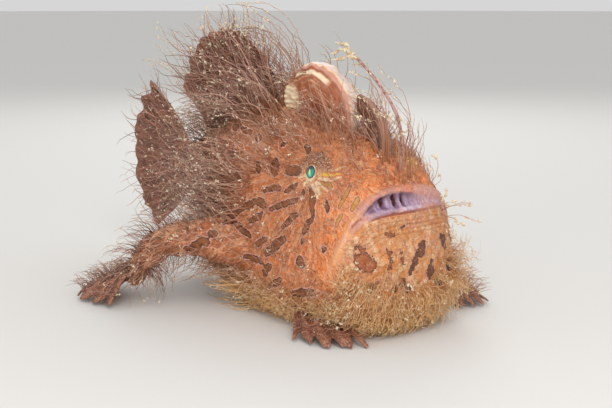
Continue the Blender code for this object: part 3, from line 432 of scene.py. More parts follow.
class FrogfishColours(bpy.types.PropertyGroup):
    orange: colour("Orange", "Bright skin of head and flank", 226, 118, 38)
    rust: colour("Rust", "Deep skin between the blotches", 178, 80, 26)
    crown: colour("Crown", "Skin on top of the head and on the back", 128, 78, 54)
    # Shade: the dark tone towards the tail, partly the brown of the back and partly painted shade
    shade: colour("Shade", "Darkest skin and filaments of the rear", 92, 64, 52)
    blotch: colour("Blotch", "Middle of a dark blotch", 140, 82, 42)
    outline: colour("Outline", "Edge of a dark blotch", 60, 34, 30)
    rim: colour("Rim", "Light line round a blotch", 214, 158, 142)
    olive: colour("Olive", "Long blotches beside the mouth", 190, 134, 48)
    peach: colour("Peach", "Light streaks of the skin", 240, 180, 118)
    chin: colour("Chin", "Skin of the chin", 206, 146, 98)
    chin_pale: colour("Pale chin", "Lightest patches of the chin", 242, 204, 158)
    chin_brown: colour("Brown chin", "Darkest patches of the chin", 146, 84, 44)
    # Painted highlights on lips and folds; also a pale colour for specks on the folds and for the thin line on the
    # hump's rim
    lip_highlight_and_pale: colour("Lip shine", "Lightest spots of lips and folds", 214, 190, 206)
    # Painted shade: darkens the mouth folds near the top, under the upper lip, and towards their edges
    fold: colour("Mouth folds", "Upper part of the folds in the mouth", 112, 72, 86)
    belly: colour("Belly", "Skin of throat and belly", 204, 146, 84)
    lip: colour("Lip", "Lips", 204, 148, 138)
    lip_fold: colour("Lip fold", "Fold at the mouth's corner", 236, 178, 150)
    lip_band: colour("Lip band", "Inner band of the lower lip", 168, 140, 170)
    # Inside of the mouth; also the colour of the painted shade line under the lower lip and in the mouth's corners
    gape: colour("Gape", "Inside of the mouth", 142, 70, 62)
    cream: colour("Cream", "Light rays round the eye", 244, 226, 190)
    gold: colour("Gold", "Brightest ray beside the eye", 255, 206, 62)
    # Pupil: the teal, the glow, the spark and the dark upper part are a painted reflection and highlight; the dark
    # edge is the pupil's own colour
    pupil: colour("Pupil", "Shine in the pupil", 12, 146, 128)
    pupil_dark: colour("Pupil edge", "Dark part of the pupil", 8, 26, 52)
    pupil_glow: colour("Pupil glow", "Brightest part of the pupil", 84, 222, 190)
    spark: colour("Pupil spark", "Narrow light in the pupil", 216, 232, 80)
    spine: colour("Spine", "Side of the hump behind the rod", 166, 114, 86)
    spine_rim: colour("Spine rim", "Rim and tip of the hump", 240, 216, 186)
    membrane: colour("Membrane", "Membrane of the second spine", 92, 56, 42)
    fin: colour("Fin", "Web of the fins", 108, 64, 46)
    ray: colour("Ray", "Rays of the fins", 172, 116, 90)
    filament: colour("Filament", "Filaments of the coat", 190, 146, 124)
    filament_root: colour("Filament root", "Filaments near the skin", 166, 102, 62)
    filament_pale: colour("Pale filament", "Filaments of chin and belly", 240, 188, 120)
    speck: colour("Speck", "Crumbs that cling to the filaments", 216, 208, 182)


class FrogfishStudio(bpy.types.PropertyGroup):
    floor: colour("Floor", "Plain floor", 226, 225, 222)
    azimuth: bpy.props.FloatProperty(
        name="Azimuth", description="Way round the model", default=math.radians(50), subtype="ANGLE"
    )
    elevation: bpy.props.FloatProperty(
        name="Elevation", description="Height of the view", default=math.radians(10), subtype="ANGLE"
    )
    distance: length("Distance", "From the camera to the point that it looks at", 280)
    light: bpy.props.FloatProperty(
        name="Light", description="Factor on all lamps", default=1.0, min=0, max=10
    )


# Vectors, lines and noise


def unit(vector):
    vector = np.asarray(vector, float)
    return vector / (np.linalg.norm(vector, axis=-1, keepdims=True) + 1e-12)


def shares(count):
    """Evenly spaced numbers from 0 to 1."""
    return np.linspace(0, 1, count)


def ease(low, high, value):
    """0 below low, 1 above high, and 3t² - 2t³ between."""
    t = np.clip((value - low) / (high - low), 0, 1)
    return t * t * (3 - 2 * t)


def smooth(xs, ys, at):
    """A cubic through points whose slopes are limited, so that it never overshoots them."""
    steps = np.diff(xs)
    slopes = np.diff(ys) / steps
    same_way = slopes[1:] * slopes[:-1] > 0
    total = np.where(same_way, slopes[1:] + slopes[:-1], 1.0)
    inner = np.where(same_way, 2 * slopes[1:] * slopes[:-1] / total, 0.0)
    tangents = np.concatenate([slopes[:1], inner, slopes[-1:]])
    at = np.clip(at, xs[0], xs[-1])
    k = np.clip(np.searchsorted(xs, at, side="right") - 1, 0, len(steps) - 1)
    t = (at - xs[k]) / steps[k]
    near = (1 + 2 * t) * (1 - t) ** 2 * ys[k] + t * (1 - t) ** 2 * steps[k] * tangents[k]
    far = t * t * (3 - 2 * t) * ys[k + 1] + t * t * (t - 1) * steps[k] * tangents[k + 1]
    return near + far


def flowing_line(points, count):
    """A Catmull-Rom line through points, read at evenly spaced parameters."""
    points = np.asarray(points, float)
    padded = np.vstack([2 * points[0] - points[1], points, 2 * points[-1] - points[-2]])
    at = np.linspace(0, len(points) - 1 - 1e-9, count)
    k = at.astype(int)
    t = (at - k)[:, None]
    a, b, c, d = (padded[k + i] for i in range(4))
    bend = (2 * a - 5 * b + 4 * c - d) * t**2 + (3 * b - a - 3 * c + d) * t**3
    return 0.5 * (2 * b + (c - a) * t + bend)


def line_frame(line, side):
    """The direction of a line at each of its points, and two directions square to it."""
    forward = unit(np.gradient(line, axis=0))
    side = np.asarray(side, float)
    side = unit(side - forward * (forward @ side)[:, None])
    return forward, side, np.cross(forward, side)


def ripples(places, size, seed, waves=14):
    """A soft random value from about -1 to 1: the mean of sine waves that cross each place in
    random directions, each about one size long."""
    rng = np.random.default_rng(seed)
    ways = unit(rng.normal(size=(waves, 3))) * rng.uniform(0.6, 1.5, (waves, 1)) * 2 * math.pi / size
    return np.sin(places @ ways.T + rng.uniform(0, 2 * math.pi, waves)).sum(-1) / math.sqrt(waves / 1.4)


def wander(places, size, seed):
    """A soft random offset for each place."""
    return np.stack([ripples(places, size, seed + k) for k in range(3)], -1)


# Body


def outline_at(x):
    behind = np.sqrt(np.clip(CHIN_X - np.asarray(x, float), 0, None))
    return (smooth(np.sqrt(BODY_OUTLINE[:, 0]), BODY_OUTLINE[:, k], behind) for k in (1, 2, 3, 4))


def body_point(x, angle):
    """The skin at a station x and an angle round the body: 0 left, 90 back, 180 right, 270 belly.

    y = half width · cos|angle|^fullness and z = widest line ± reach · sin|angle|^fullness, with
    the outline read over the root of the distance behind the chin. Each eye adds a soft swelling.
    """
    x, angle = np.broadcast_arrays(np.asarray(x, float), np.radians(angle))
    back, belly, widest, half_width = outline_at(x)
    c, s = np.cos(angle), np.sin(angle)
    fullness = np.where(s >= 0, UPPER_FULLNESS, LOWER_FULLNESS)
    y = half_width * np.sign(c) * np.abs(c) ** fullness
    y = y + TAIL_BEND * np.clip(x / TAIL_END_X, 0, None) ** 2
    reach = np.where(s >= 0, back - widest, widest - belly)
    z = widest + reach * np.sign(s) * np.abs(s) ** fullness
    off = (x - EYE_PLACE[0]) ** 2 + (np.abs(y) - EYE_PLACE[1]) ** 2 + (z - EYE_PLACE[2]) ** 2
    swell = EYE_SWELL * np.exp(-off / (2 * EYE_SWELL_REACH**2))
    y, z = y + 0.8 * swell * np.sign(c), z + 0.6 * swell
    return np.stack([x, y, np.maximum(z, 0)], -1)


def body_normal(x, angle):
    along = body_point(x + 0.2, angle) - body_point(x - 0.2, angle)
    across = body_point(x, angle + 1.5) - body_point(x, angle - 1.5)
    return unit(np.cross(across, along))


def body_share(places):
    """How far out a place lies in its cross-section: 1 on the skin, less inside it."""
    x, y, z = np.moveaxis(np.asarray(places, float), -1, 0)
    back, belly, widest, half_width = outline_at(x)
    y = y - TAIL_BEND * np.clip(x / TAIL_END_X, 0, None) ** 2
    above = z >= widest
    fullness = np.where(above, UPPER_FULLNESS, LOWER_FULLNESS)
    reach = np.where(above, back - widest, widest - belly)
    out = (np.abs(y) / np.maximum(half_width, 0.01)) ** (2 / fullness)
    out = out + (np.abs(z - widest) / np.maximum(reach, 0.01)) ** (2 / fullness)
    out = out ** (fullness / 2)
    return np.where((x > CHIN_X) | (x < TAIL_END_X), FAR, out)


def face_x(y, z):
    """The station where the front of the face has a given y and z, found by halving."""
    low, high = np.full(np.shape(y), 5.0), np.full(np.shape(y), CHIN_X)
    for _ in range(30):
        middle = (low + high) / 2
        inside = body_share(np.stack([middle, y, z], -1)) < 1
        low, high = np.where(inside, middle, low), np.where(inside, high, middle)
    return low


def face_point(y, z):
    y, z = np.asarray(y, float), np.asarray(z, float)
    return np.stack([face_x(y, z), y, z], -1)


def lip_line(half, count=91):
    """A flowing line on the face through (y, z) points given for one half and mirrored."""
    half = np.array(half)
    both = np.vstack([half[:0:-1], half * (-1, 1)])
    line = flowing_line(np.column_stack([both, np.zeros(len(both))]), count)
    return face_point(line[:, 0], line[:, 1])


def gap_edges(y):
    """The heights of the top and bottom edge of the gap at each y, and how far the lip closes it."""
    at = np.minimum(np.abs(y), MOUTH_HALF)
    top, bottom = (smooth(*np.array(edge).T, at) for edge in (GAP_TOP, GAP_BOTTOM))
    closed = (top - bottom) * (1 - np.interp(y, *np.array(GAP_OPEN).T))
    return top - closed, bottom, closed


# Shapes as points and triangles


def turns(count):
    """Evenly spaced angles round a circle."""
    return np.arange(count) * 2 * math.pi / count


def spokes(axis, count):
    """Unit vectors square to an axis, evenly spaced round it."""
    u, b = unit(np.cross((0.0, 0.0, 1.0), axis)), turns(count)
    return np.cos(b)[:, None] * u + np.sin(b)[:, None] * np.cross(axis, u)


def rings_round(line, across, along, side, up, sides):
    """Rings about a line: point = line(s) + across(s) · cos b · side + along(s) · sin b · up."""
    b = turns(sides)
    return (
        line[:, None]
        + (across[:, None] * np.cos(b))[..., None] * side[:, None]
        + (along[:, None] * np.sin(b))[..., None] * up[:, None]
    )


def dome(ring, middle, way, reach):
    """Rings that go on from a last ring and shrink as a quarter circle."""
    return np.array([middle + (ring - middle) * math.cos(a) + way * reach * math.sin(a) for a in DOME_TURNS])


def with_ends(values):
    """One number per point of a closed shape: its rings, then the mean of each end ring."""
    return np.concatenate([values.ravel(), [values[0].mean(), values[-1].mean()]])


def band_faces(rings, sides, closed=True):
    """Triangles between neighbouring rings of a grid of points."""
    i, j = np.meshgrid(np.arange(rings - 1), np.arange(sides if closed else sides - 1), indexing="ij")
    a, b = i * sides + j, i * sides + (j + 1) % sides
    quads = np.stack([a, b, b + sides, a + sides], -1).reshape(-1, 4)
    return np.concatenate([quads[:, :3], quads[:, [0, 2, 3]]])


def closed_shape(rings):
    """A closed surface through rings of points, with each end closed on its middle."""
    count, sides = rings.shape[:2]
    points = np.concatenate([rings.reshape(-1, 3), rings[0].mean(0)[None], rings[-1].mean(0)[None]])
    j = np.arange(sides)
    first, last = count * sides, count * sides + 1
    start = np.stack([np.full(sides, first), (j + 1) % sides, j], -1)
    end = (count - 1) * sides
    stop = np.stack([np.full(sides, last), end + j, end + (j + 1) % sides], -1)
    faces = np.concatenate([band_faces(count, sides), start, stop])
    return outward(points, faces)


def outward(points, faces):
    """Turns the faces round if they enclose a negative volume."""
    a, b, c = (points[faces[:, k]] for k in range(3))
    return (points, faces[:, ::-1]) if np.einsum("ij,ij->i", a, np.cross(b, c)).sum() < 0 else (points, faces)


def tube(line, across, along, side, sides=24, domed=True):
    """A closed tube of rings about a line, with a dome at both ends if it is domed."""
    line = np.asarray(line, float)
    across, along = (np.broadcast_to(np.asarray(r, float), len(line)) for r in (across, along))
    forward, side, up = line_frame(line, side)
    rings = rings_round(line, across, along, side, up, sides)
    if domed:
        start, stop = (
            dome(rings[end], line[end], forward[end] * way, min(across[end], along[end]))
            for end, way in ((0, -1), (-1, 1))
        )
        rings = np.concatenate([start[::-1], rings, stop])
    return closed_shape(rings)


def ball(centre, axis, radius, rings=48, sides=64):
    """A sphere whose poles lie on an axis: centre + radius · (cos a · axis + sin a · spoke(b))."""
    axis = unit(axis)
    a = np.linspace(0, math.pi, rings + 2)[1:-1]
    spoke = spokes(axis, sides)
    grid = centre + radius * (np.cos(a)[:, None, None] * axis + np.sin(a)[:, None, None] * spoke)
    points, faces = closed_shape(grid)
    points[-2:] = centre + radius * axis, centre - radius * axis
    return points, faces


def hoop(centre, axis, radius, wire, around=48, sides=16):
    """A torus: centre + spoke(a) · (radius + wire · cos b) + axis · wire · sin b."""
    axis, b = unit(axis), turns(sides)
    grid = (
        centre
        + spokes(axis, around)[:, None] * (radius + wire * np.cos(b))[None, :, None]
        + axis * (wire * np.sin(b))[None, :, None]
    )
    faces = band_faces(around + 1, sides) % (around * sides)
    return outward(grid.reshape(-1, 3), faces)


def gathered(shapes):
    """Several shapes as one list of points and one of faces."""
    starts = np.cumsum([0] + [len(points) for points, _ in shapes[:-1]])
    return (
        np.concatenate([points for points, _ in shapes]),
        np.concatenate([faces + start for (_, faces), start in zip(shapes, starts)]),
    )


def mesh_of(name, points, faces):
    mesh = bpy.data.meshes.new(name)
    mesh.from_pydata(np.asarray(points, float) * MM, [], np.asarray(faces))
    mesh.shade_smooth()
    return mesh


def add_fields(mesh, fields):
    """Stores one number per point for each named field, for the material to read."""
    for name, values in fields.items():
        layer = mesh.attributes.new(name, "FLOAT", "POINT")
        layer.data.foreach_set("value", np.ascontiguousarray(values, np.float32))


def numbers_of(items, key, width=1, kind=np.float32):
    """One property of a mesh's points, corners, edges or faces, as a row for each."""
    values = np.empty(len(items) * width, kind)
    items.foreach_get(key, values)
    return values.reshape(-1, width)


def add_bake_map(mesh, spots):
    """The map that the coat is baked on: each corner takes the spot of its point."""
    corners = numbers_of(mesh.loops, "vertex_index", kind=np.int32)[:, 0]
    layer = mesh.uv_layers.new(name="OFBake")
    layer.data.foreach_set("uv", np.ascontiguousarray(spots[corners], np.float32).ravel())


def placed(name, data):
    """A new object in the scene."""
    obj = bpy.data.objects.new(name, data)
    bpy.context.scene.collection.objects.link(obj)
    return obj


def add_piece(name, mesh, material, replaced=()):
    """Puts a finished mesh into the scene, riding on the model's one body."""
    piece = placed(name, mesh)
    mesh.materials.clear()
    mesh.materials.append(material)
    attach(piece, "root")
    if replaced:
        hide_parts(*replaced)


def points_of(mesh):
    return numbers_of(mesh.vertices, "co", 3).astype(float) / MM


def move_points(mesh, points):
    """Moves a mesh's points to new places, none of them below the floor."""
    points[:, 2] = np.maximum(points[:, 2], 0.0)
    mesh.vertices.foreach_set("co", (points * MM).astype(np.float32).ravel())
    mesh.update()


def shaped(mesh, *steps):
    """The mesh after some modifiers, each given as its kind and its settings."""
    helper = placed("helper", mesh)
    for kind, settings in steps:
        step = helper.modifiers.new(kind.lower(), kind)
        for key, value in settings.items():
            setattr(step, key, value)
    bpy.context.view_layer.update()
    graph = bpy.context.evaluated_depsgraph_get()
    result = bpy.data.meshes.new_from_object(helper.evaluated_get(graph))
    bpy.data.objects.remove(helper)
    return result


def combined(mesh, shapes, operation):
    """Joins closed shapes to a mesh, or cuts it by them."""
    group = bpy.data.collections.new("operands")
    for index, (points, faces) in enumerate(shapes):
        group.objects.link(bpy.data.objects.new(f"operand_{index}", mesh_of("operand", points, faces)))
    bpy.context.scene.collection.children.link(group)
    settings = {"operation": operation, "operand_type": "COLLECTION", "collection": group, "solver": "MANIFOLD"}
    result = shaped(mesh, ("BOOLEAN", settings))
    for obj in list(group.objects):
        bpy.data.objects.remove(obj)
    bpy.data.collections.remove(group)
    return result


def relaxed(points, edges, rounds, share=0.5):
    """Moves each point towards the mean of its neighbours, then part of the way back, so that
    steps go and the volume stays."""
    count = np.zeros(len(points))
    np.add.at(count, edges.ravel(), 1)
    for index in range(rounds * 2):
        total = np.zeros_like(points)
        np.add.at(total, edges[:, 0], points[edges[:, 1]])
        np.add.at(total, edges[:, 1], points[edges[:, 0]])
        factor = share if index % 2 == 0 else -share * 0.94
        points = points + (total / np.maximum(count, 1)[:, None] - points) * factor
    return points


# Markings, which the skin and the coat share


def mirror(places):
    return places * (1, -1, 1)


def strokes_on_cheeks(rows):
    """Each row as a line of places with a half width at each, on both sides of the head."""
    strokes = []
    for x0, a0, x1, a1, half in rows:
        t = shares(5)
        line = body_point(x0 + (x1 - x0) * t, a0 + (a1 - a0) * t)
        widths = half * (0.78 + 0.3 * np.sin(math.pi * t))
        strokes += [(line, widths), (mirror(line), widths)]
    return strokes


def rays_from_eye(rows):
    """As strokes on the cheeks, each drawn out towards the eye."""
    strokes = []
    for line, widths in strokes_on_cheeks(rows):
        eye = EYE_PLACE * (1, np.sign(line[0, 1]), 1)
        near = np.linalg.norm(line[0] - eye) < 6.5
        start = [eye + (line[0] - eye) * 0.68] if near else []
        line = np.vstack([*start, line])
        strokes.append((line, np.append(widths[:len(line) - len(widths)] * 0.6, widths)))
    return strokes


def strokes_on_chin(rows):
    strokes = []
    for y0, z0, y1, z1, half in rows:
        t = shares(4)
        line = face_point(y0 + (y1 - y0) * t, z0 + (z1 - z0) * t)
        strokes.append((line, half * (0.8 + 0.3 * np.sin(math.pi * t))))
    return strokes


def scattered_strokes(rng, taken):
    """Blotches over trunk and tail, each pointing away from the eye, apart from one another."""
    strokes, centres = [], list(taken)
    for _ in range(1500):
        x, angle = rng.uniform(-41, 34), rng.uniform(-60, 240)
        place, normal = body_point(x, angle), body_normal(x, angle)
        half = rng.uniform(0.6, 1.15)
        if place[2] < 6 or np.min(np.linalg.norm(np.array(centres) - place, axis=1)) < 3.4 + half * 1.6:
            continue
        if 60 < angle < 120 and x > 16:
            continue
        eye = EYE_PLACE * (1, 1 if place[1] > 0 else -1, 1)
        way = place - eye
        way = unit(way - normal * (way @ normal))
        reach = rng.uniform(0.5, 2.4)
        t = np.linspace(-1, 1, 5)[:, None]
        bend = np.cross(normal, way) * rng.uniform(-0.5, 0.5)
        strokes.append((place + way * reach * t + bend * (t**2 - 0.5), half * (0.75 + 0.3 * (1 - t[:, 0] ** 2))))
        centres.append(place)
    return strokes


def limb_strokes(rng, plan, number):
    """Round spots along an arm."""
    line, across, along, side = limb_form(plan)
    forward, side, up = line_frame(line, side)
    strokes = []
    for index in range(number):
        k = int((0.18 + 0.8 * (index * 0.618 % 1)) * (len(line) - 1))
        b = 2 * math.pi * (index * 0.3819 % 1)
        place = line[k] + across[k] * math.cos(b) * side[k] + along[k] * math.sin(b) * up[k]
        reach = forward[k] * rng.uniform(0.2, 0.6)
        strokes.append((np.stack([place - reach, place + reach]), np.full(2, rng.uniform(0.7, 1.15))))
    return strokes


def limb_form(plan, count=90):
    plan = flowing_line(plan, count)
    return plan[:, :3], plan[:, 3] * 0.92, plan[:, 3], (0, 0, 1)


def spine_form(plan, count=90):
    plan = flowing_line(plan, count)
    return np.stack([plan[:, 0], 0 * plan[:, 0], plan[:, 1]], -1), plan[:, 2], plan[:, 3], (0, 1, 0)


def snapped(strokes, places):
    """The strokes with each point moved to the nearest of the skin's points."""
    moved = []
    for line, widths in strokes:
        far = np.linalg.norm(places[None] - line[:, None], axis=2)
        moved.append((places[far.argmin(1)], widths))
    return moved


def stroke_distance(places, strokes, most=3.0):
    """Signed distance from each place to the edge of the nearest stroke, inside it negative."""
    nearest = np.full(len(places), most)
    for line, widths in strokes:
        middle = line.mean(0)
        room = np.linalg.norm(line - middle, axis=1).max() + widths.max() + most
        close = np.nonzero(np.abs(places - middle).max(1) < room)[0]
        if not len(close):
            continue
        here = places[close]
        for a, b, wa, wb in zip(line, line[1:], widths, widths[1:]):
            along = b - a
            t = np.clip((here - a) @ along / (along @ along + 1e-9), 0, 1)
            far = np.linalg.norm(here - a - t[:, None] * along, axis=1) - (wa + (wb - wa) * t)
            nearest[close] = np.minimum(nearest[close], far)
    return nearest


def line_distance(places, line):
    nearest = np.full(len(places), FAR)
    for spot in line:
        nearest = np.minimum(nearest, np.linalg.norm(places - spot, axis=1))
    return nearest


def jaw_share(places):
    """1 on the chin, below the lower lip and inside the folds at its corners, and 0 elsewhere."""
    x, y, z = places.T
    y = np.abs(y)
    corner = smooth(*np.array(LOWER_LIP + LIP_FOLD).T, np.minimum(y, 16.9))
    slope = np.minimum(36.5 - (17.4 - z) * 0.85, 35.5)  # from the mouth's corner to the throat
    return (1 - ease(-0.5, 0.5, z - corner)) * (1 - ease(15.4, 16.6, y)) * ease(-0.8, 0.8, x - slope)


def belly_share(places):
    x, y, z = places.T
    return 1 - ease(4.0, 13.0, z + 0.12 * np.maximum(-x, 0))


# Materials


def node_operator(operation, turned=False):
    """A method that adds a maths node to a wire, with the other value first if turned."""
    return lambda wire, other: wire.maths(operation, other, turned)


class Wire:
    """One socket of a material's nodes. Python's operators on it add the nodes that work it out."""

    def __init__(self, finish, socket, vector=False):
        self.finish, self.socket, self.vector = finish, socket, vector

    def maths(self, operation, other=None, turned=False):
        values = [self] if other is None else ([other, self] if turned else [self, other])
        if self.vector or getattr(other, "vector", False):
            return self.finish.add("VectorMath", {"operation": operation}, values, vector=True)
        return self.finish.add("Math", {"operation": operation}, values)

    def __mul__(self, other):
        if self.vector and not isinstance(other, (Wire, tuple)):
            values = {0: self, "Scale": other}
            return self.finish.add("VectorMath", {"operation": "SCALE"}, values, vector=True)
        return self.maths("MULTIPLY", other)

    __add__ = __radd__ = node_operator("ADD")
    __sub__ = node_operator("SUBTRACT")
    __rsub__ = node_operator("SUBTRACT", turned=True)
    __pow__ = node_operator("POWER")
    most = node_operator("MAXIMUM")

    def wave(self):
        return self.maths("SINE")

    def above(self, low, high):
        """0 below low, 1 above high, eased between."""
        settings = {"interpolation_type": "SMOOTHSTEP"}
        return self.finish.add("MapRange", settings, {"Value": self, "From Min": low, "From Max": high})

    def below(self, low, high):
        return 1.0 - self.above(low, high)

    def band(self, low, high, soft):
        """1 between low and high, with edges of a given softness."""
        return self.above(low - soft, low + soft) * self.below(high - soft, high + soft)

    def parts(self):
        node = self.finish.add("SeparateXYZ", {}, [self])
        return [Wire(self.finish, socket) for socket in node.socket.node.outputs]


class Finish:
    """A material whose looks are worked out in nodes."""

    def __init__(self, name, **constants):
        self.material = bpy.data.materials.new(name)
        self.material.use_nodes = True
        self.nodes, self.links = self.material.node_tree.nodes, self.material.node_tree.links
        self.shader = self.nodes["Principled BSDF"]
        for key, value in constants.items():
            self.shader.inputs[key.replace("_", " ").title().replace("Ior", "IOR")].default_value = value

    def add(self, kind, settings, values=(), output=0, vector=False):
        """Any node: its settings are set first, then its sockets by place or name."""
        node = self.nodes.new("ShaderNode" + kind)
        for key, value in settings.items():
            setattr(node, key, value)
        for key, value in values.items() if isinstance(values, dict) else enumerate(values):
            if isinstance(value, Wire):
                self.links.new(value.socket, node.inputs[key])
            elif node.inputs[key].type == "RGBA":
                node.inputs[key].default_value = (*value, 1.0)
            elif node.inputs[key].type == "VECTOR" and isinstance(value, (int, float)):
                node.inputs[key].default_value = (value, value, value)
            else:
                node.inputs[key].default_value = value
        return Wire(self, node.outputs[output], vector)

    def place(self):
        """Object coordinates in millimetres."""
        return self.add("TexCoord", {}, output="Object", vector=True) * (1 / MM)

    def field(self, name):
        return self.add("Attribute", {"attribute_name": name}, output="Fac")

    def fields(self, *names):
        return [self.field(name) for name in names]

    def vector(self, x, y, z):
        return self.add("CombineXYZ", {}, [x, y, z], vector=True)

    def noise(self, vector, scale, detail=3.0, roughness=0.55):
        values = {"Vector": vector, "Scale": scale, "Detail": detail, "Roughness": roughness}
        return self.add("TexNoise", {}, values)

    def drift(self, vector, scale, size):
        """A random offset of about half a size either way, for bending a pattern."""
        values = {"Vector": vector, "Scale": scale, "Detail": 2.0}
        return (self.add("TexNoise", {}, values, output="Color", vector=True) - (0.5, 0.5, 0.5)) * size

    def net(self, vector):
        """Distance to the nearest border of a pattern of cells."""
        return self.add("TexVoronoi", {"feature": "DISTANCE_TO_EDGE"}, {"Vector": vector, "Scale": 1.0})

    def mix(self, share, first, second):
        """The first colour where share is 0, the second where it is 1."""
        settings = {"data_type": "RGBA", "clamp_factor": True}
        return self.add("Mix", settings, {0: share, 6: first, 7: second}, output=2, vector=True)

    def layers(self, ground, *layers):
        """The ground colour with each layer's colour laid over it by the layer's share."""
        for share, colour in layers:
            ground = self.mix(share, ground, colour)
        return ground

    def finish(self, colour, roughness=None, height=None, depth=0.0002, strength=0.6):
        self.links.new(colour.socket, self.shader.inputs["Base Color"])
        if roughness is not None:
            self.links.new(roughness.socket, self.shader.inputs["Roughness"])
        if height is not None:
            bump = self.add("Bump", {}, {"Strength": strength, "Distance": depth, "Height": height})
            self.links.new(bump.socket, self.shader.inputs["Normal"])
        return self.material


def eye_rays(f, place):
    """Coordinates that stretch a pattern along lines running out from the nearer eye."""
    x, y, z = place.parts()
    near = f.vector(x, y.maths("ABSOLUTE"), z)
    away = near - tuple(map(float, EYE_PLACE))
    ray = f.add("VectorMath", {"operation": "NORMALIZE"}, [away], vector=True)
    return ray, near


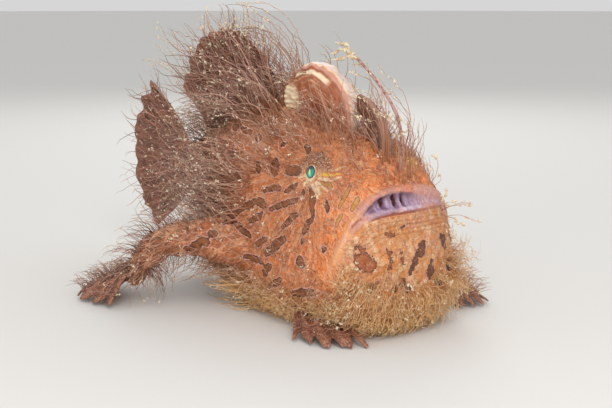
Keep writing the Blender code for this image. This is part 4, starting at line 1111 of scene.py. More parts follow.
def skin_finish(hues):
    f = Finish(
        "skin", roughness=0.45, subsurface_weight=0.12, subsurface_scale=0.0012,
        coat_weight=0.25, coat_roughness=0.22,
    )
    place = f.place()
    ahead, aside, height = place.parts()
    ray, near = eye_rays(f, place)
    broad, mid, fine, grain = (f.noise(place, scale, 4, 0.6) for scale in (0.22, 0.8, 3.0, 7.0))
    drift = f.drift(place, 0.35, 3.2) + f.drift(place, 1.2, 1.4)
    around = near + drift
    streak = f.noise(ray * 15.0 + around * 0.07, 1.0, 5, 0.6)
    crease = f.noise(ray * 30.0 + around * 0.16, 1.0, 5, 0.6)
    net = f.net(ray * 6.0 + around * 0.17)
    threads = f.net(ray * 14.0 + around * 0.22)
    jaw, belly, gape, brow, rise, groove = f.fields("jaw", "belly", "gape", "brow", "fold_rise", "groove")
    upper, lower, eye = f.fields("upper_lip", "lower_lip", "eye")
    wobble = (mid - 0.5) * 1.0 + (fine - 0.5) * 0.45
    blotch = f.field("blotch") + wobble * (1.0 + jaw * 1.8)
    olive = f.field("olive") + wobble * 0.5
    cream, gold = f.field("cream") + (fine - 0.5) * 0.24, f.field("gold") + (fine - 0.5) * 0.24
    left = aside.above(-1.0, 5.0)
    middle = near.parts()[1].below(9.6, 11.4) * (1.0 - left * 0.7)
    # Towards the tail the skin darkens: partly the brown of the back, partly painted shade
    rear = ahead.below(-14.0, 24.0)

    skin = f.layers(
        hues.rust,
        (broad.above(0.38, 0.58), hues.orange),
        (mid.above(0.52, 0.64) * 0.5, hues.blotch),
        (streak.above(0.53, 0.62) * 0.6, hues.peach),
        (crease.below(0.37, 0.46) * 0.5, hues.blotch),
        (fine.above(0.53, 0.64) * 0.35, hues.peach),
        (fine.below(0.36, 0.45) * 0.45, hues.rust),
        (grain.below(0.38, 0.46) * 0.25, hues.outline),
        (grain.above(0.58, 0.64) * 0.3, hues.chin_pale),
        (rear * (0.35 + broad * 0.7), f.mix(mid.above(0.4, 0.6), hues.crown, hues.shade)),
        (f.field("wrist") * 0.9, f.mix(mid.above(0.4, 0.6), hues.fin, hues.crown)),
        (height.above(36, 45) * 0.75, f.mix(mid.above(0.42, 0.6), hues.crown, hues.blotch)),
    )
    patch, grit = f.noise(place + drift * 0.3, 0.5, 6, 0.62), f.noise(place + drift * 0.2, 0.95, 6, 0.65)
    chin = f.layers(
        f.mix(0.45, hues.orange, hues.olive),
        (patch.above(0.42, 0.52), hues.chin),
        (patch.above(0.54, 0.62) * 0.7, hues.chin_pale),
        (broad.above(0.48, 0.60) * fine.above(0.42, 0.55) * 0.5, hues.lip),
        (grit.above(0.55, 0.63) * 0.75, hues.chin_brown),
        (grit.below(0.34, 0.40) * 0.7, hues.chin_pale),
        (grain.below(0.40, 0.46) * 0.5, hues.blotch),
        (grain.above(0.57, 0.63) * 0.6, hues.cream),
    )
    skin = f.layers(
        skin,
        (jaw * 0.95, chin),
        (belly * 0.8, f.mix(grit.above(0.45, 0.6), hues.belly, hues.chin_brown)),
    )
    clear = 1.0 - jaw.most(belly) * 0.85
    thread = f.mix(0.5, hues.rim, hues.peach)
    for line in (crease.above(0.55, 0.60), net.below(0.015, 0.05), threads.below(0.015, 0.05)):
        skin = f.mix(line * clear * 0.5, skin, thread)
    dark = f.layers(
        hues.blotch,
        (mid.above(0.42, 0.62) * 0.6, hues.outline),
        (fine.above(0.50, 0.60) * 0.6, hues.rust),
        (grain.above(0.56, 0.62) * 0.5, hues.olive),
        (jaw * grit.above(0.4, 0.6) * 0.7, hues.chin_brown),
        (jaw * patch.above(0.42, 0.52) * 0.4, hues.rust),
        (jaw * aside.above(-5.0, -3.0) * (0.3 + fine * 0.8), hues.outline),
        (jaw * fine.above(0.56, 0.63) * 0.6, hues.chin),
    )
    # Folds: lavender, darker near the top under the upper lip and towards each edge as painted shade; the left ones
    # carry pink and pale specks, partly painted highlights
    folds = f.layers(
        hues.lip_band,
        (rise.above(0.1, 0.9) * 0.7, hues.fold),
        (groove.above(0.45, 1.0) * 0.7, hues.fold),
        (left * (0.5 + mid * 0.6), f.mix(fine.above(0.45, 0.58), hues.lip, hues.lip_highlight_and_pale)),
    )
    # Painted highlight on the lower middle of each fold
    swell = groove.below(0.0, 0.5) * rise.band(0.2, 0.7, 0.2)
    folds = f.mix(swell * fine.above(0.4, 0.6) * 0.8, folds, hues.lip_highlight_and_pale)
    # Lower lip band: lavender and pink, with pale specks that are partly painted highlights
    band = f.mix(mid.above(0.42, 0.6) * 0.7, hues.lip_band, hues.lip)
    band = f.mix(fine.above(0.52, 0.62) * 0.6, band, hues.lip_highlight_and_pale)
    # Painted highlight along the top of the lower lip near its middle
    shine = lower.below(0.5, 0.9) * aside.band(-3.0, 3.2, 0.8) * rise.below(0.0, 0.3) * mid.above(0.4, 0.55)
    light = f.mix(mid.above(0.4, 0.6) * 0.6, hues.cream, hues.peach)
    skin = f.layers(
        skin,
        (blotch.band(0.03, 0.24, 0.06) * (1.0 - jaw * 0.7) * 0.9, hues.rim),
        (blotch.below(-0.08, 0.06), dark),
        (blotch.band(-0.26, -0.03, 0.08) * 0.85, hues.outline),
        (olive.band(0.0, 0.20, 0.07) * 0.7, hues.rim),
        (olive.below(-0.06, 0.05) * 0.85, f.mix(fine.above(0.48, 0.6) * 0.7, hues.olive, hues.chin)),
        (olive.band(-0.15, 0.0, 0.05) * (0.25 + fine * 0.8), hues.outline),
        (cream.below(-0.08, 0.26) * (0.55 + fine * 0.8), light),
        (gold.below(-0.2, 0.26) * (0.7 + fine * 0.6), hues.gold),
        (f.field("glow") * (0.5 + fine), f.mix(mid.above(0.48, 0.6), hues.gold, hues.cream)),
        (upper.below(0.3, 1.5) * height.above(25.5, 28.5) * (0.6 + mid * 0.5), hues.lip),
        # Pale specks on top of the upper lip, partly painted highlights
        (upper.below(0.3, 0.9) * height.above(25.5, 28.5) * fine.above(0.5, 0.62) * 0.5, hues.lip_highlight_and_pale),
        (
            upper.below(0.3, 1.5) * height.below(25.5, 28.5) * height.above(13.0, 20.0) * (0.5 + mid * 0.6),
            f.mix(mid.above(0.45, 0.6), hues.peach, hues.lip_fold),
        ),
        (lower.below(0.5, 1.2) * 0.7, hues.lip),
        (lower.below(0.7, 0.95) * middle, band),
        (f.field("folds"), folds),
        # Painted shade: a line in the gape colour under the lower lip, and where the lips meet at the mouth's corners
        (lower.band(0.85, 1.25, 0.12) * f.field("under_lip") * (0.15 + middle * 0.75), hues.gape),
        ((f.field("corner") + (mid - 0.5) * 0.5).below(0.05, 0.42), f.mix(0.4, hues.gape, hues.rust)),
        (shine, hues.lip_highlight_and_pale),
        (eye.band(1.8, 4.6, 0.6) * brow * 0.5, hues.crown),
        (eye.band(1.8, 5.0, 0.6) * brow * fine.above(0.50, 0.55) * 0.9, hues.blotch),
        (eye.band(1.8, 4.6, 0.6) * brow * fine.above(0.57, 0.62) * 0.8, hues.outline),
        (eye.band(1.8, 4.8, 0.6) * brow * fine.below(0.40, 0.45) * 0.8, hues.speck),
        (eye.band(1.6, 3.2, 0.4) * (1.0 - brow) * fine.above(0.50, 0.60) * 0.7, hues.cream),
        (eye.below(1.62, 1.74) * 0.9, hues.cream),
        (eye.below(1.85, 2.10) * (1.0 - brow) * ahead.above(25.2, 26.6) * (0.4 + fine), hues.cream),
        (f.field("pore").below(0.5, 0.85), hues.gape),
        (gape.above(1.1, 2.2), hues.gape),
    )
    wrinkles = (lower * 7.0 + mid * 6.0).wave() * lower.band(1.6, 6.0, 0.8) * jaw
    skin = f.mix(wrinkles.above(0.2, 0.9) * 0.35, skin, hues.chin_brown)
    rough = 0.36 + fine * 0.25
    bumps = mid * 0.5 + fine * 0.5 + grain * 0.3 + net.below(0.02, 0.10) * 0.35 + threads.below(0.02, 0.07) * 0.25
    bumps = bumps + blotch.below(-0.1, 0.2) * 0.25 + wrinkles * 0.25
    return f.finish(skin, rough, bumps, 0.0003, 0.9)


def eye_finish(hues):
    f = Finish("eye", roughness=0.12, coat_weight=1.0, coat_roughness=0.02, ior=1.45)
    across, up = f.field("eye_across"), f.field("eye_up")
    far = (across * across + up * up) ** 0.5
    fine = f.noise(f.place(), 2.5, 3)
    # The pupil is painted as a reflection: teal, darker towards the upper left, with a painted glow low down and a
    # narrow painted highlight whose top is cream
    pupil = f.mix((up * 0.9 - across * 0.4).above(-0.2, 0.8), hues.pupil, hues.pupil_dark)
    glow = ((across - 0.1) * (across - 0.1) * 3.0 + (up + 0.5) * (up + 0.5) * 1.6).below(0.1, 0.9)
    pupil = f.mix(glow * 0.6, pupil, hues.pupil_glow)
    spark = (across * across * 10.0 + (up + 0.12) * (up + 0.12) * 1.5).below(0.1, 0.9)
    pupil = f.layers(
        pupil,
        (spark * 0.9, hues.spark),
        (spark * (up + across * 0.3).above(-0.1, 0.5) * 0.8, hues.cream),
        ((across + up * 0.2).below(-1.0, -0.5) * 0.8, hues.pupil_dark),
        (far.above(0.98, 1.28), hues.pupil_dark),
    )
    iris = f.mix(fine.above(0.4, 0.6), hues.cream, hues.chin)
    return f.finish(f.mix(far.above(PUPIL_RADIUS - 0.04, PUPIL_RADIUS + 0.04), pupil, iris))


def spine_finish(hues):
    f = Finish(
        "spine_skin", roughness=0.42, subsurface_weight=0.15, subsurface_scale=0.0012,
        coat_weight=0.1, coat_roughness=0.3,
    )
    place = f.place()
    mid, fine = f.noise(place, 0.6, 3), f.noise(place, 2.6, 3)
    outer, along, lobe = f.fields("outer", "along", "lobe")
    strands = f.noise(f.vector(along * 9.0, outer * 16.0, mid * 1.5), 1.0, 4)
    span = along.above(0.07, 0.15) * along.below(0.58, 0.66)
    edge = outer + (mid - 0.5) * 0.06
    wedge = (edge - along * 0.35).above(0.36, 0.42) * edge.below(0.70, 0.78)
    skin = f.layers(
        f.mix(0.5, hues.crown, hues.rust),
        (strands.above(0.40, 0.58), hues.spine),
        (strands.above(0.54, 0.66) * 0.7, f.mix(0.5, hues.filament, hues.peach)),
        (f.noise(place, 0.9, 2).above(0.56, 0.68) * 0.6, hues.rust),
    )
    skin = f.layers(
        skin,
        (edge.above(0.78, 0.86) * span * 0.8, hues.rim),
        (wedge * along.above(0.35, 0.40) * along.below(0.57, 0.62), hues.spine_rim),
        (edge.above(0.90, 0.95) * span, f.mix(mid.above(0.35, 0.75) * 0.7, hues.spine_rim, hues.peach)),
        (edge.above(0.955, 0.985) * span * 0.9, f.mix(0.4, hues.lip_highlight_and_pale, hues.cream)),
        (edge.band(0.6, 0.8, 0.05) * along.band(0.595, 0.635, 0.015), hues.cream),
        (outer.below(-0.95, -0.55) * 0.7, hues.orange),
        (along.below(0.04, 0.16) * 0.8, hues.rust),
    )
    # Painted shade: the pale ridged lobes darken in the grooves between their ridges
    folds = ((place.parts()[2] + (mid - 0.5) * 0.6) * (2 * math.pi / LOBE_PITCH)).wave() * 0.5 + 0.5
    patch = (lobe + (mid - 0.5) * 0.3).above(0.0, 0.3)
    skin = f.layers(
        skin,
        (patch, f.mix((1.0 - folds) * 0.45, hues.cream, hues.spine)),
        (lobe.below(-0.7, -0.1) * lobe.above(-0.05, 0.0), hues.gold),
    )
    return f.finish(skin, 0.38 + fine * 0.2, fine * 0.4 + strands * 0.8, 0.0002, 0.6)


def membrane_finish(hues):
    f = Finish("membrane", roughness=0.4, subsurface_weight=0.2, subsurface_scale=0.001)
    place = f.place()
    mid, fine = f.noise(place, 0.7, 3), f.noise(place, 2.8, 3)
    outer, along = f.fields("outer", "along")
    strands = f.noise(f.vector(along * 5.0, outer * 8.0, mid * 2.0), 1.0, 4)
    skin = f.layers(
        hues.membrane,
        (mid.above(0.4, 0.65) * 0.6, hues.crown),
        (strands.above(0.54, 0.66) * 0.6, hues.filament),
        (outer.above(0.6, 0.95) * 0.7, hues.filament),
    )
    return f.finish(skin, 0.35 + fine * 0.2, fine + mid, 0.0002, 0.5)


def fin_finish(hues):
    f = Finish("fin", roughness=0.5, subsurface_weight=0.1, subsurface_scale=0.001)
    place = f.place()
    broad, mid, fine = (f.noise(place, scale, 4, 0.6) for scale in (0.3, 0.8, 3.0))
    ray, reach = f.fields("ray", "reach")
    blotch = f.field("blotch") + (mid - 0.5) * 1.2 + (fine - 0.5) * 0.5
    skin = f.layers(
        hues.fin,
        (broad.above(0.4, 0.6), hues.crown),
        (reach.below(0.0, 0.4) * mid.above(0.4, 0.6) * 0.8, hues.rust),
        (ray * fine.above(0.35, 0.60), hues.ray),
        (fine.above(0.56, 0.64) * 0.6, hues.filament),
        (fine.below(0.36, 0.44) * 0.6, hues.outline),
        (blotch.band(0.0, 0.3, 0.1) * 0.6, hues.rim),
        (blotch.below(-0.08, 0.08), f.mix(mid.above(0.4, 0.6), hues.blotch, hues.outline)),
    )
    bands = (reach * 60.0 + mid * 6.0).wave() * ray
    return f.finish(skin, 0.42 + fine * 0.2, fine * 0.8 + mid * 0.7 + bands * 0.3, 0.0003, 0.8)


def lure_finish(hues):
    f = Finish("lure", roughness=0.5, subsurface_weight=0.15, subsurface_scale=0.0008)
    place = f.place()
    mid, fine = f.noise(place, 1.2, 3), f.noise(place, 4.0, 3)
    lure = f.field("lure")
    stalk = f.mix(mid.above(0.4, 0.65), f.mix(0.25, hues.filament, hues.lip_band), hues.crown)
    worm = f.mix(mid.above(0.42, 0.62) * 0.7, hues.speck, hues.belly)
    return f.finish(f.mix(lure.above(0.3, 0.7), stalk, worm), 0.4 + fine * 0.3, fine + mid, 0.0002, 0.6)


def coat_finish(hues):
    f = Finish("coat", roughness=0.42, subsurface_weight=0.0, coat_weight=0.15, coat_roughness=0.25)
    reach, tone, mark, pale = f.fields("reach", "tone", "mark", "pale")
    place = f.place()
    fine = f.noise(place, 1.6, 2)
    # Towards the tail the filaments darken: partly their own brown, partly painted shade
    rear = place.parts()[0].below(-20.0, 14.0) * (1.0 - pale)
    root = f.mix(pale, hues.filament_root, hues.belly)
    shaft = f.mix(tone.above(0.55, 0.95) * 0.6, hues.filament, hues.rim)
    shaft = f.mix(pale, shaft, f.mix(tone.above(0.5, 0.9), hues.filament_pale, hues.chin_pale))
    colour = f.layers(
        f.mix(rear * 0.8, root, hues.shade),
        (reach.above(0.02, 0.5), shaft),
        (rear * tone.below(0.3, 0.8) * 0.6, hues.shade),
        (mark * reach.below(0.3, 0.9) * 0.75, hues.blotch),
        (tone.below(0.0, 0.45) * (0.45 - pale * 0.25), hues.crown),
        (fine.above(0.60, 0.70) * reach.above(0.2, 0.5) * 0.75, hues.speck),
    )
    return f.finish(colour, 0.35 + tone * 0.2)


def speck_finish(hues):
    f = Finish("specks", roughness=0.6)
    place = f.place()
    fine = f.noise(place, 1.3, 3)
    colour = f.mix(fine.above(0.4, 0.65), hues.speck, hues.spine_rim)
    return f.finish(colour, height=f.noise(place, 6.0), depth=0.0001)


# Pieces of the body


def eye_side(way):
    """Where the eye of one side lies, 1 for the left and -1 for the right, and where it looks."""
    return EYE_PLACE * (1, way, 1), unit(EYE_AXIS * (1, way, 1))


def socket_ball(way, radius):
    return ball(EYE_PLACE * (1, way, 1), EYE_AXIS * (1, way, 1), radius)


def body_shape():
    """The body as a grid of stations and angles. Stations lie at chin - length · t^1.7, close
    together at the face, and the last rings draw in to round the tail's root."""
    t = shares(SKIN_RINGS + 1)[1:]
    stations = CHIN_X - BODY_LENGTH * t**1.7
    angles = np.arange(SKIN_SIDES) * 360 / SKIN_SIDES
    rings = body_point(stations[:, None], angles[None])
    end = rings[-1]
    caps = [end.mean(0) + (end - end.mean(0)) * math.cos(a) - (1.2 * math.sin(a), 0, 0) for a in (0.5, 0.9, 1.25)]
    return closed_shape(np.concatenate([rings, caps]))


def mouth_room():
    """The gap between the lips: at each y from corner to corner a slot from the gap's bottom edge
    to its top edge, which ends a little way behind the face and is lower there."""
    y = np.linspace(-13.4, 13.4, 61)
    top, bottom, _ = gap_edges(y)
    middle = (top + bottom) / 2
    face = face_x(y, middle)
    loop = []
    for x, share in ((face + FAR, 1.0), (face - 0.5 * MOUTH_DEPTH, 0.98), (face - MOUTH_DEPTH, 0.7)):
        half = np.maximum((top - bottom) / 2 * share, 0.12)
        loop = [np.stack([x, y, middle + half], -1), *loop, np.stack([x, y, middle - half], -1)]
    return closed_shape(np.array(loop).swapaxes(0, 1))


def lip_shapes(sizes):
    """Both lips as tubes on the face, the upper one with the fold at each corner of the mouth."""
    upper = lip_line(UPPER_LIP + LIP_FOLD, 121)
    closed = gap_edges(upper[:, 1])[2] * (np.abs(upper[:, 1]) < MOUTH_HALF)
    upper = face_point(upper[:, 1], upper[:, 2] - closed / 2)
    y = np.abs(upper[:, 1])
    girth = sizes.upper_lip / MM * np.interp(y, [0, 9, 13.5, 15.7, 16.9], [1.0, 0.9, 0.8, 0.7, 0.25])
    girth = girth + 0.4 * np.exp(-((y / 0.9) ** 2)) + 0.05 * ripples(upper, 3.0, 3)
    shapes = [tube(upper, girth + closed * 0.15, girth * 1.15 + closed * 0.5, (1, 0, 0), 20)]
    lower = lip_line(LOWER_LIP)
    y = np.abs(lower[:, 1])
    girth = sizes.lower_lip / MM * np.interp(y, [0, 5, 9.2, 10.8, 13.9], [0.85, 0.95, 1.15, 0.6, 0.3])
    girth = girth + 0.06 * ripples(lower, 2.0, 4)
    shapes.append(tube(lower, girth * 0.85, girth, (1, 0, 0), 20))
    return shapes, upper, lower


def fold_shapes():
    """Soft folds that hang across the gap behind the upper lip, with dark slits between them."""
    shapes = []
    for index, (y, half) in enumerate(FOLDS):
        top, bottom, _ = gap_edges(y)
        z = np.linspace(top + 0.5, bottom - 0.4, 9)
        spots = face_point(np.full(9, y + 0.08 * math.sin(index * 2.1)), z)
        spots[:, 0] -= FOLD_SINK + 0.2 * math.cos(index * 1.7)
        girth = half * np.interp(shares(9), [0, 0.35, 0.7, 1], [1.15, 1.0, 0.85, 1.0])
        shapes.append(tube(spots, girth, np.maximum(girth, 0.65), (0, 1, 0), 16))
    return shapes


def arm_shape(plan):
    line, across, along, side = limb_form(plan)
    swell = 1 + 0.05 * ripples(line, 7.0, 5)
    return tube(line, across * swell, along * swell, side, 56)


def make_skin(sizes):
    """One closed surface: the body, arms, lips and eye mounds joined in small cells, relaxed, and
    given folds and warts along its normals."""
    lips, upper, lower = lip_shapes(sizes)
    mounds, bores = [], []
    for way in (1, -1):
        foot, axis = eye_side(way)
        line = foot + axis * np.linspace(-0.3, EYE_LID_OUT, 8)[:, None]
        girth = np.interp(shares(8), [0, 0.5, 1], [EYE_MOUND[0], 3.6, EYE_MOUND[1]])
        mounds.append(tube(line, girth, girth, (0, 0, 1), 48, domed=False))
        mounds.append(hoop(foot + axis * EYE_LID_OUT, axis, EYE_LID_RADIUS, EYE_LID_WIRE))
    for (x, angle), (radius, rim) in [(at, NOSTRIL) for at in NOSTRILS] + [(at, GILL_PORE) for at in GILL_PORES]:
        foot, axis = body_point(x, angle), body_normal(x, angle)
        mounds.append(hoop(foot + axis * 0.15, axis, radius, rim, 32))
        line = foot + axis * np.linspace(-1.4, 1.6, 5)[:, None]
        bores.append(tube(line, radius - 0.12, radius - 0.12, (0.1, 0.2, 1), 24))
    mesh = mesh_of("skin", *body_shape())
    mesh = combined(mesh, [arm_shape(RIGHT_ARM), arm_shape(LEFT_ARM), lips[0], *mounds], "UNION")
    bores += [mouth_room(), socket_ball(1, EYE_RADIUS), socket_ball(-1, EYE_RADIUS)]
    mesh = combined(mesh, bores, "DIFFERENCE")
    if any(len(p.vertices) != 3 for p in mesh.polygons):
        mesh = shaped(mesh, ("TRIANGULATE", {}))
    cut = points_of(mesh), numbers_of(mesh.polygons, "vertices", 3, np.int32)
    mesh = mesh_of("skin", *gathered([cut, gathered([lips[1], *fold_shapes()])]))
    mesh = shaped(mesh, ("REMESH", {"mode": "VOXEL", "voxel_size": sizes.skin_cell}))
    points = relaxed(points_of(mesh), numbers_of(mesh.edges, "vertices", 2, np.int32), 2)
    move_points(mesh, points)
    mesh.shade_smooth()
    lip_far = np.minimum(line_distance(points, upper), line_distance(points, lower))
    calm = ease(2.6, 5.0, eye_distance(points)) * ease(1.0, 2.6, lip_far)
    lumps = 0.14 * ripples(points, 2.6, 21) + 0.09 * ripples(points, 1.3, 22)
    points = points + numbers_of(mesh.vertices, "normal", 3) * (lumps * (0.25 + 0.75 * calm))[:, None]
    move_points(mesh, points)
    add_fields(mesh, skin_fields(points, upper, lower))
    return mesh


def from_eye(places):
    """How far each place lies along the line that the nearer eye looks along, and off it."""
    near = np.stack([places[:, 0], np.abs(places[:, 1]), places[:, 2]], -1) - EYE_PLACE
    axis = unit(EYE_AXIS)
    along = near @ axis
    return along, np.linalg.norm(near - along[:, None] * axis, axis=1)


def eye_distance(places):
    """Distance from the line that the nearer eye looks along."""
    along, away = from_eye(places)
    return np.where(along > 0, away, FAR + away)


def body_strokes():
    rng = np.random.default_rng(SEED)
    strokes = strokes_on_cheeks(CHEEK_BLOTCHES) + strokes_on_chin(CHIN_BLOTCHES)
    taken = [line[k] for line, _ in strokes + strokes_on_cheeks(OLIVE_BLOTCHES + CREAM_RAYS) for k in (0, -1)]
    taken += [EYE_PLACE + (0, 3, 0), EYE_PLACE * (1, -1, 1) - (0, 3, 0)]
    strokes += scattered_strokes(rng, taken)
    strokes += limb_strokes(rng, RIGHT_ARM, 16) + limb_strokes(rng, LEFT_ARM, 16)
    return strokes


def skin_fields(points, upper, lower):
    """What the skin's material reads: the markings as signed distances, and where the lips, the
    mouth, the chin, the belly and the lids are."""
    x, y, z = points.T
    front = ease(28, 31, x) * ease(23.5, 24.5, z) * (1 - ease(32, 33, z))
    depth = (face_x(y, z) - x) * front
    top, bottom, closed = gap_edges(y)
    under = lower + (0, 0, -1.0)
    corner = np.min([np.hypot(np.abs(y) - at, z - up) for at, up in flowing_line(MOUTH_CORNER, 16)], axis=0)
    groove = np.min([np.abs(y - at) / half for at, half in FOLDS], axis=0)
    below = ease(-0.2, 0.5, line_distance(points, lower + (0, 0, 1.2)) - line_distance(points, under))
    pores = np.array([body_point(*at) - 0.7 * body_normal(*at) for at in NOSTRILS + GILL_PORES])
    strokes = {
        "blotch": body_strokes(),
        "olive": strokes_on_cheeks(OLIVE_BLOTCHES),
        "cream": rays_from_eye(CREAM_RAYS),
        "gold": rays_from_eye(GOLD_RAYS),
    }
    return {
        **{name: stroke_distance(points, snapped(each, points)) for name, each in strokes.items()},
        "upper_lip": line_distance(points, upper) - 0.45 * closed,
        "lower_lip": line_distance(points, lower) + below * np.interp(y, [-10.0, -6.0, -2.0], [0.0, 0.25, 0.35]),
        # Corner and under_lip place the painted shade lines in the mouth's corners and under the lower lip
        "corner": np.where(x > 24, corner + 0.22 * ease(25.0, 24.2, z) * (z < 25.0), FAR),
        "under_lip": below,
        "jaw": jaw_share(points),
        "belly": belly_share(points),
        "gape": depth,
        "eye": eye_distance(points),
        "brow": ease(0.0, 2.0, z - EYE_PLACE[2]),
        "wrist": ease(21.0, 25.5, np.abs(y)) * (1 - ease(6.0, 10.5, z)),
        "glow": np.exp(-np.sum((points - GLOW) ** 2, axis=1) / 5.0),
        "pore": line_distance(points, pores),
        # Groove and fold_rise place the painted shade and the painted highlight on the folds
        "groove": groove,
        "fold_rise": np.clip((z - bottom) / np.maximum(top - bottom, 0.2), 0, 1),
        "folds": ease(-0.3, 0.1, z - bottom) * ease(-0.6, -0.1, top - z) * (1 - ease(10.9, 12.2, np.abs(y))) * front,
    }


def make_eyes():
    """Two balls. Each point also keeps how far it lies across and above the line of sight."""
    shapes, across, up = [], [], []
    for way in (1, -1):
        centre, axis = eye_side(way)
        points, faces = socket_ball(way, EYE_RADIUS - 0.02)
        forward = unit(np.array((1.0, 0, 0)) - axis * axis[0])
        high = np.cross(forward, axis) * way
        off = points - centre
        front = off @ axis > 0
        shapes.append((points, faces))
        across.append(np.where(front, off @ forward, FAR))
        up.append(np.where(front, off @ high, FAR))
    mesh = mesh_of("eyes", *gathered(shapes))
    add_fields(mesh, {"eye_across": np.concatenate(across), "eye_up": np.concatenate(up)})
    return mesh


def make_spine(name, form, sides=128):
    """A tube about the spine's line. Outer is how far a point lies on the outer side of the bend,
    from -1 to 1. A groove parts the rim from the flank, and each side of the rear end carries a
    ridged lobe: an ellipse in side view."""
    line, across, along, side = form
    forward, side, up = line_frame(line, side)
    s = shares(len(line))[:, None]
    outer = -np.sin(turns(sides)) * np.ones_like(s)
    spot = rings_round(line, across, along, side, up, sides)
    lobe = np.zeros_like(outer)
    if name == "third_spine":
        lobe = 1 - np.hypot((spot[..., 0] - LOBE[0]) / LOBE[2], (spot[..., 2] - LOBE[1]) / LOBE[3])
        lobe = np.where(np.abs(spot[..., 1]) > 1.0, lobe, -1)
    folds = np.sin(2 * math.pi * (spot[..., 2] + 0.3 * ripples(spot, 4.0, 12)) / LOBE_PITCH)
    grow = 0.14 * ripples(spot, 3.0, 11) + 0.07 * ripples(spot, 1.2, 13)
    grow -= 0.35 * np.exp(-(((outer - 0.74) / 0.05) ** 2)) * ease(0.05, 0.2, s) * (1 - ease(0.55, 0.7, s))
    grow -= 0.25 * np.exp(-(((outer - 0.48) / 0.07) ** 2)) * ease(0.3, 0.45, s) * (1 - ease(0.55, 0.65, s))
    grow += ease(0.0, 0.25, lobe) * (0.35 + 0.13 * folds)
    spot = spot + unit(spot - line[:, None]) * grow[..., None]
    tip = dome(spot[-1], line[-1], forward[-1], min(across[-1], along[-1]))
    mesh = mesh_of(name, *closed_shape(np.concatenate([spot, tip])))
    for key, values in (("outer", outer), ("along", s * np.ones(sides)), ("lobe", lobe)):
        values = np.concatenate([values, np.repeat(values[-1:], len(tip), axis=0)])
        add_fields(mesh, {key: with_ends(values)})
    return mesh


def make_rod():
    """The rod is a thin tube with a slow wave in its girth. Its lure is a few worms, tubes that
    swell in the middle and carry lumps."""
    line = flowing_line(ROD, 70)
    girth = ROD_RADIUS * (1.15 - 0.35 * shares(70) + 0.08 * ripples(line, 3.0, 31))
    shapes, lure = [tube(line, girth, girth, (0, 1, 0), 14)], []
    lure.append(np.zeros(len(shapes[0][0])))
    for index, reach in enumerate(LURE_WORMS):
        end = line[-1]
        middle = end + np.array(reach) * 0.5 + (0, 0, 0.9 * math.cos(index * 2.0))
        worm = flowing_line([end + (0.8, 0, -0.3), end, middle, end + np.array(reach)], 46)
        girth = 0.24 * np.interp(shares(46), [0, 0.3, 0.6, 0.9, 1], [0.8, 1.1, 1.3, 1.0, 0.4])
        girth = girth * (1.15 + 0.45 * ripples(worm, 0.8, 40 + index))
        worm = worm + 0.3 * wander(worm, 2.6, 50 + index)
        shapes.append(tube(worm, girth, girth, (0, 0, 1), 14))
        lure.append(np.ones(len(shapes[-1][0])))
    mesh = mesh_of("fishing_rod", *gathered(shapes))
    add_fields(mesh, {"lure": np.concatenate(lure)})
    return mesh


def on_floor(plan):
    """True for the fins of hands and feet, whose tips rest on the floor."""
    return plan.tips[0][2] == TIP_Z


def fin_sheet(plan, columns_per_ray=20, rows=34):
    """The middle sheet of a fin: point(u, v) = root(u) · (1 - r) + tip(u) · r + bow · 4r(1 - r),
    where r is v drawn back between two rays, and the sheet ripples towards its edge. The rays of a
    fin that stands free split in two."""
    columns = (plan.rays - 1) * columns_per_ray + 1
    u, v = shares(columns), shares(rows)
    turn = math.pi * u * (plan.rays - 1)
    ray = np.abs(np.cos(turn)[:, None]) ** (6 - 3 * v) * np.ones_like(v)
    split = np.abs(np.cos(turn + 0.55)[:, None]) ** 14 + np.abs(np.cos(turn - 0.55)[:, None]) ** 14
    if not on_floor(plan):
        ray = ray * (1 - ease(0.45, 0.7, v)) + np.clip(split, 0, 1) * ease(0.45, 0.7, v)
    drawn = 1 - plan.notch * (np.abs(np.sin(turn)) ** 4)[:, None] * v[None] ** 3
    drawn = drawn * (1 + 0.03 * np.minimum(ripples(u[:, None] * (40, 0, 0), 5.0, 62), 0))[:, None] ** v[None]
    r = (v[None] * drawn)[..., None]
    roots, tips = flowing_line(plan.roots, columns)[:, None], flowing_line(plan.tips, columns)[:, None]
    sheet = roots * (1 - r) + tips * r + 4 * r * (1 - r) * np.array(plan.bow, float)
    out = unit(np.cross(np.gradient(sheet, axis=0), np.gradient(sheet, axis=1)))
    sheet = sheet + out * (0.25 * ripples(sheet, 9.0, 61)[..., None] * v[None, :, None])
    return sheet, out, ray, v


def make_fin(name, plan, rng):
    """A fin as a closed sheet: two faces about the middle sheet, thick at each ray and thin
    between, which come together along the edge."""
    sheet, out, ray, v = fin_sheet(plan)
    ridge = ray * (1 - 0.5 * v[None])
    half = (plan.web * (1 - 0.55 * v[None]) + (plan.ray - plan.web) * ridge) / 2
    half = half * np.sqrt(np.clip(1 - v[None] ** 14, 0.03, 1))
    half[[0, -1]] *= 0.35
    front, back = sheet + out * half[..., None], sheet - out * half[..., None]
    rings = np.concatenate([front, back[:, ::-1]], axis=1)
    if on_floor(plan):
        rings[..., 2] = np.maximum(rings[..., 2], 0.0)
    points, faces = closed_shape(rings)
    spots = []
    for _ in range(plan.rays * 2):
        i, j = rng.integers(2, sheet.shape[0] - 2), rng.integers(3, int(sheet.shape[1] * 0.9))
        spots.append((sheet[i, [j - 2, j + 2]], np.full(2, rng.uniform(0.5, 1.1))))

    mesh = mesh_of(name, points, faces)
    for key, values in (("ray", ray), ("reach", v * np.ones_like(ray))):
        add_fields(mesh, {key: with_ends(np.concatenate([values, values[:, ::-1]], axis=1))})
    add_fields(mesh, {"blotch": stroke_distance(points, spots)})
    return mesh


# Coat


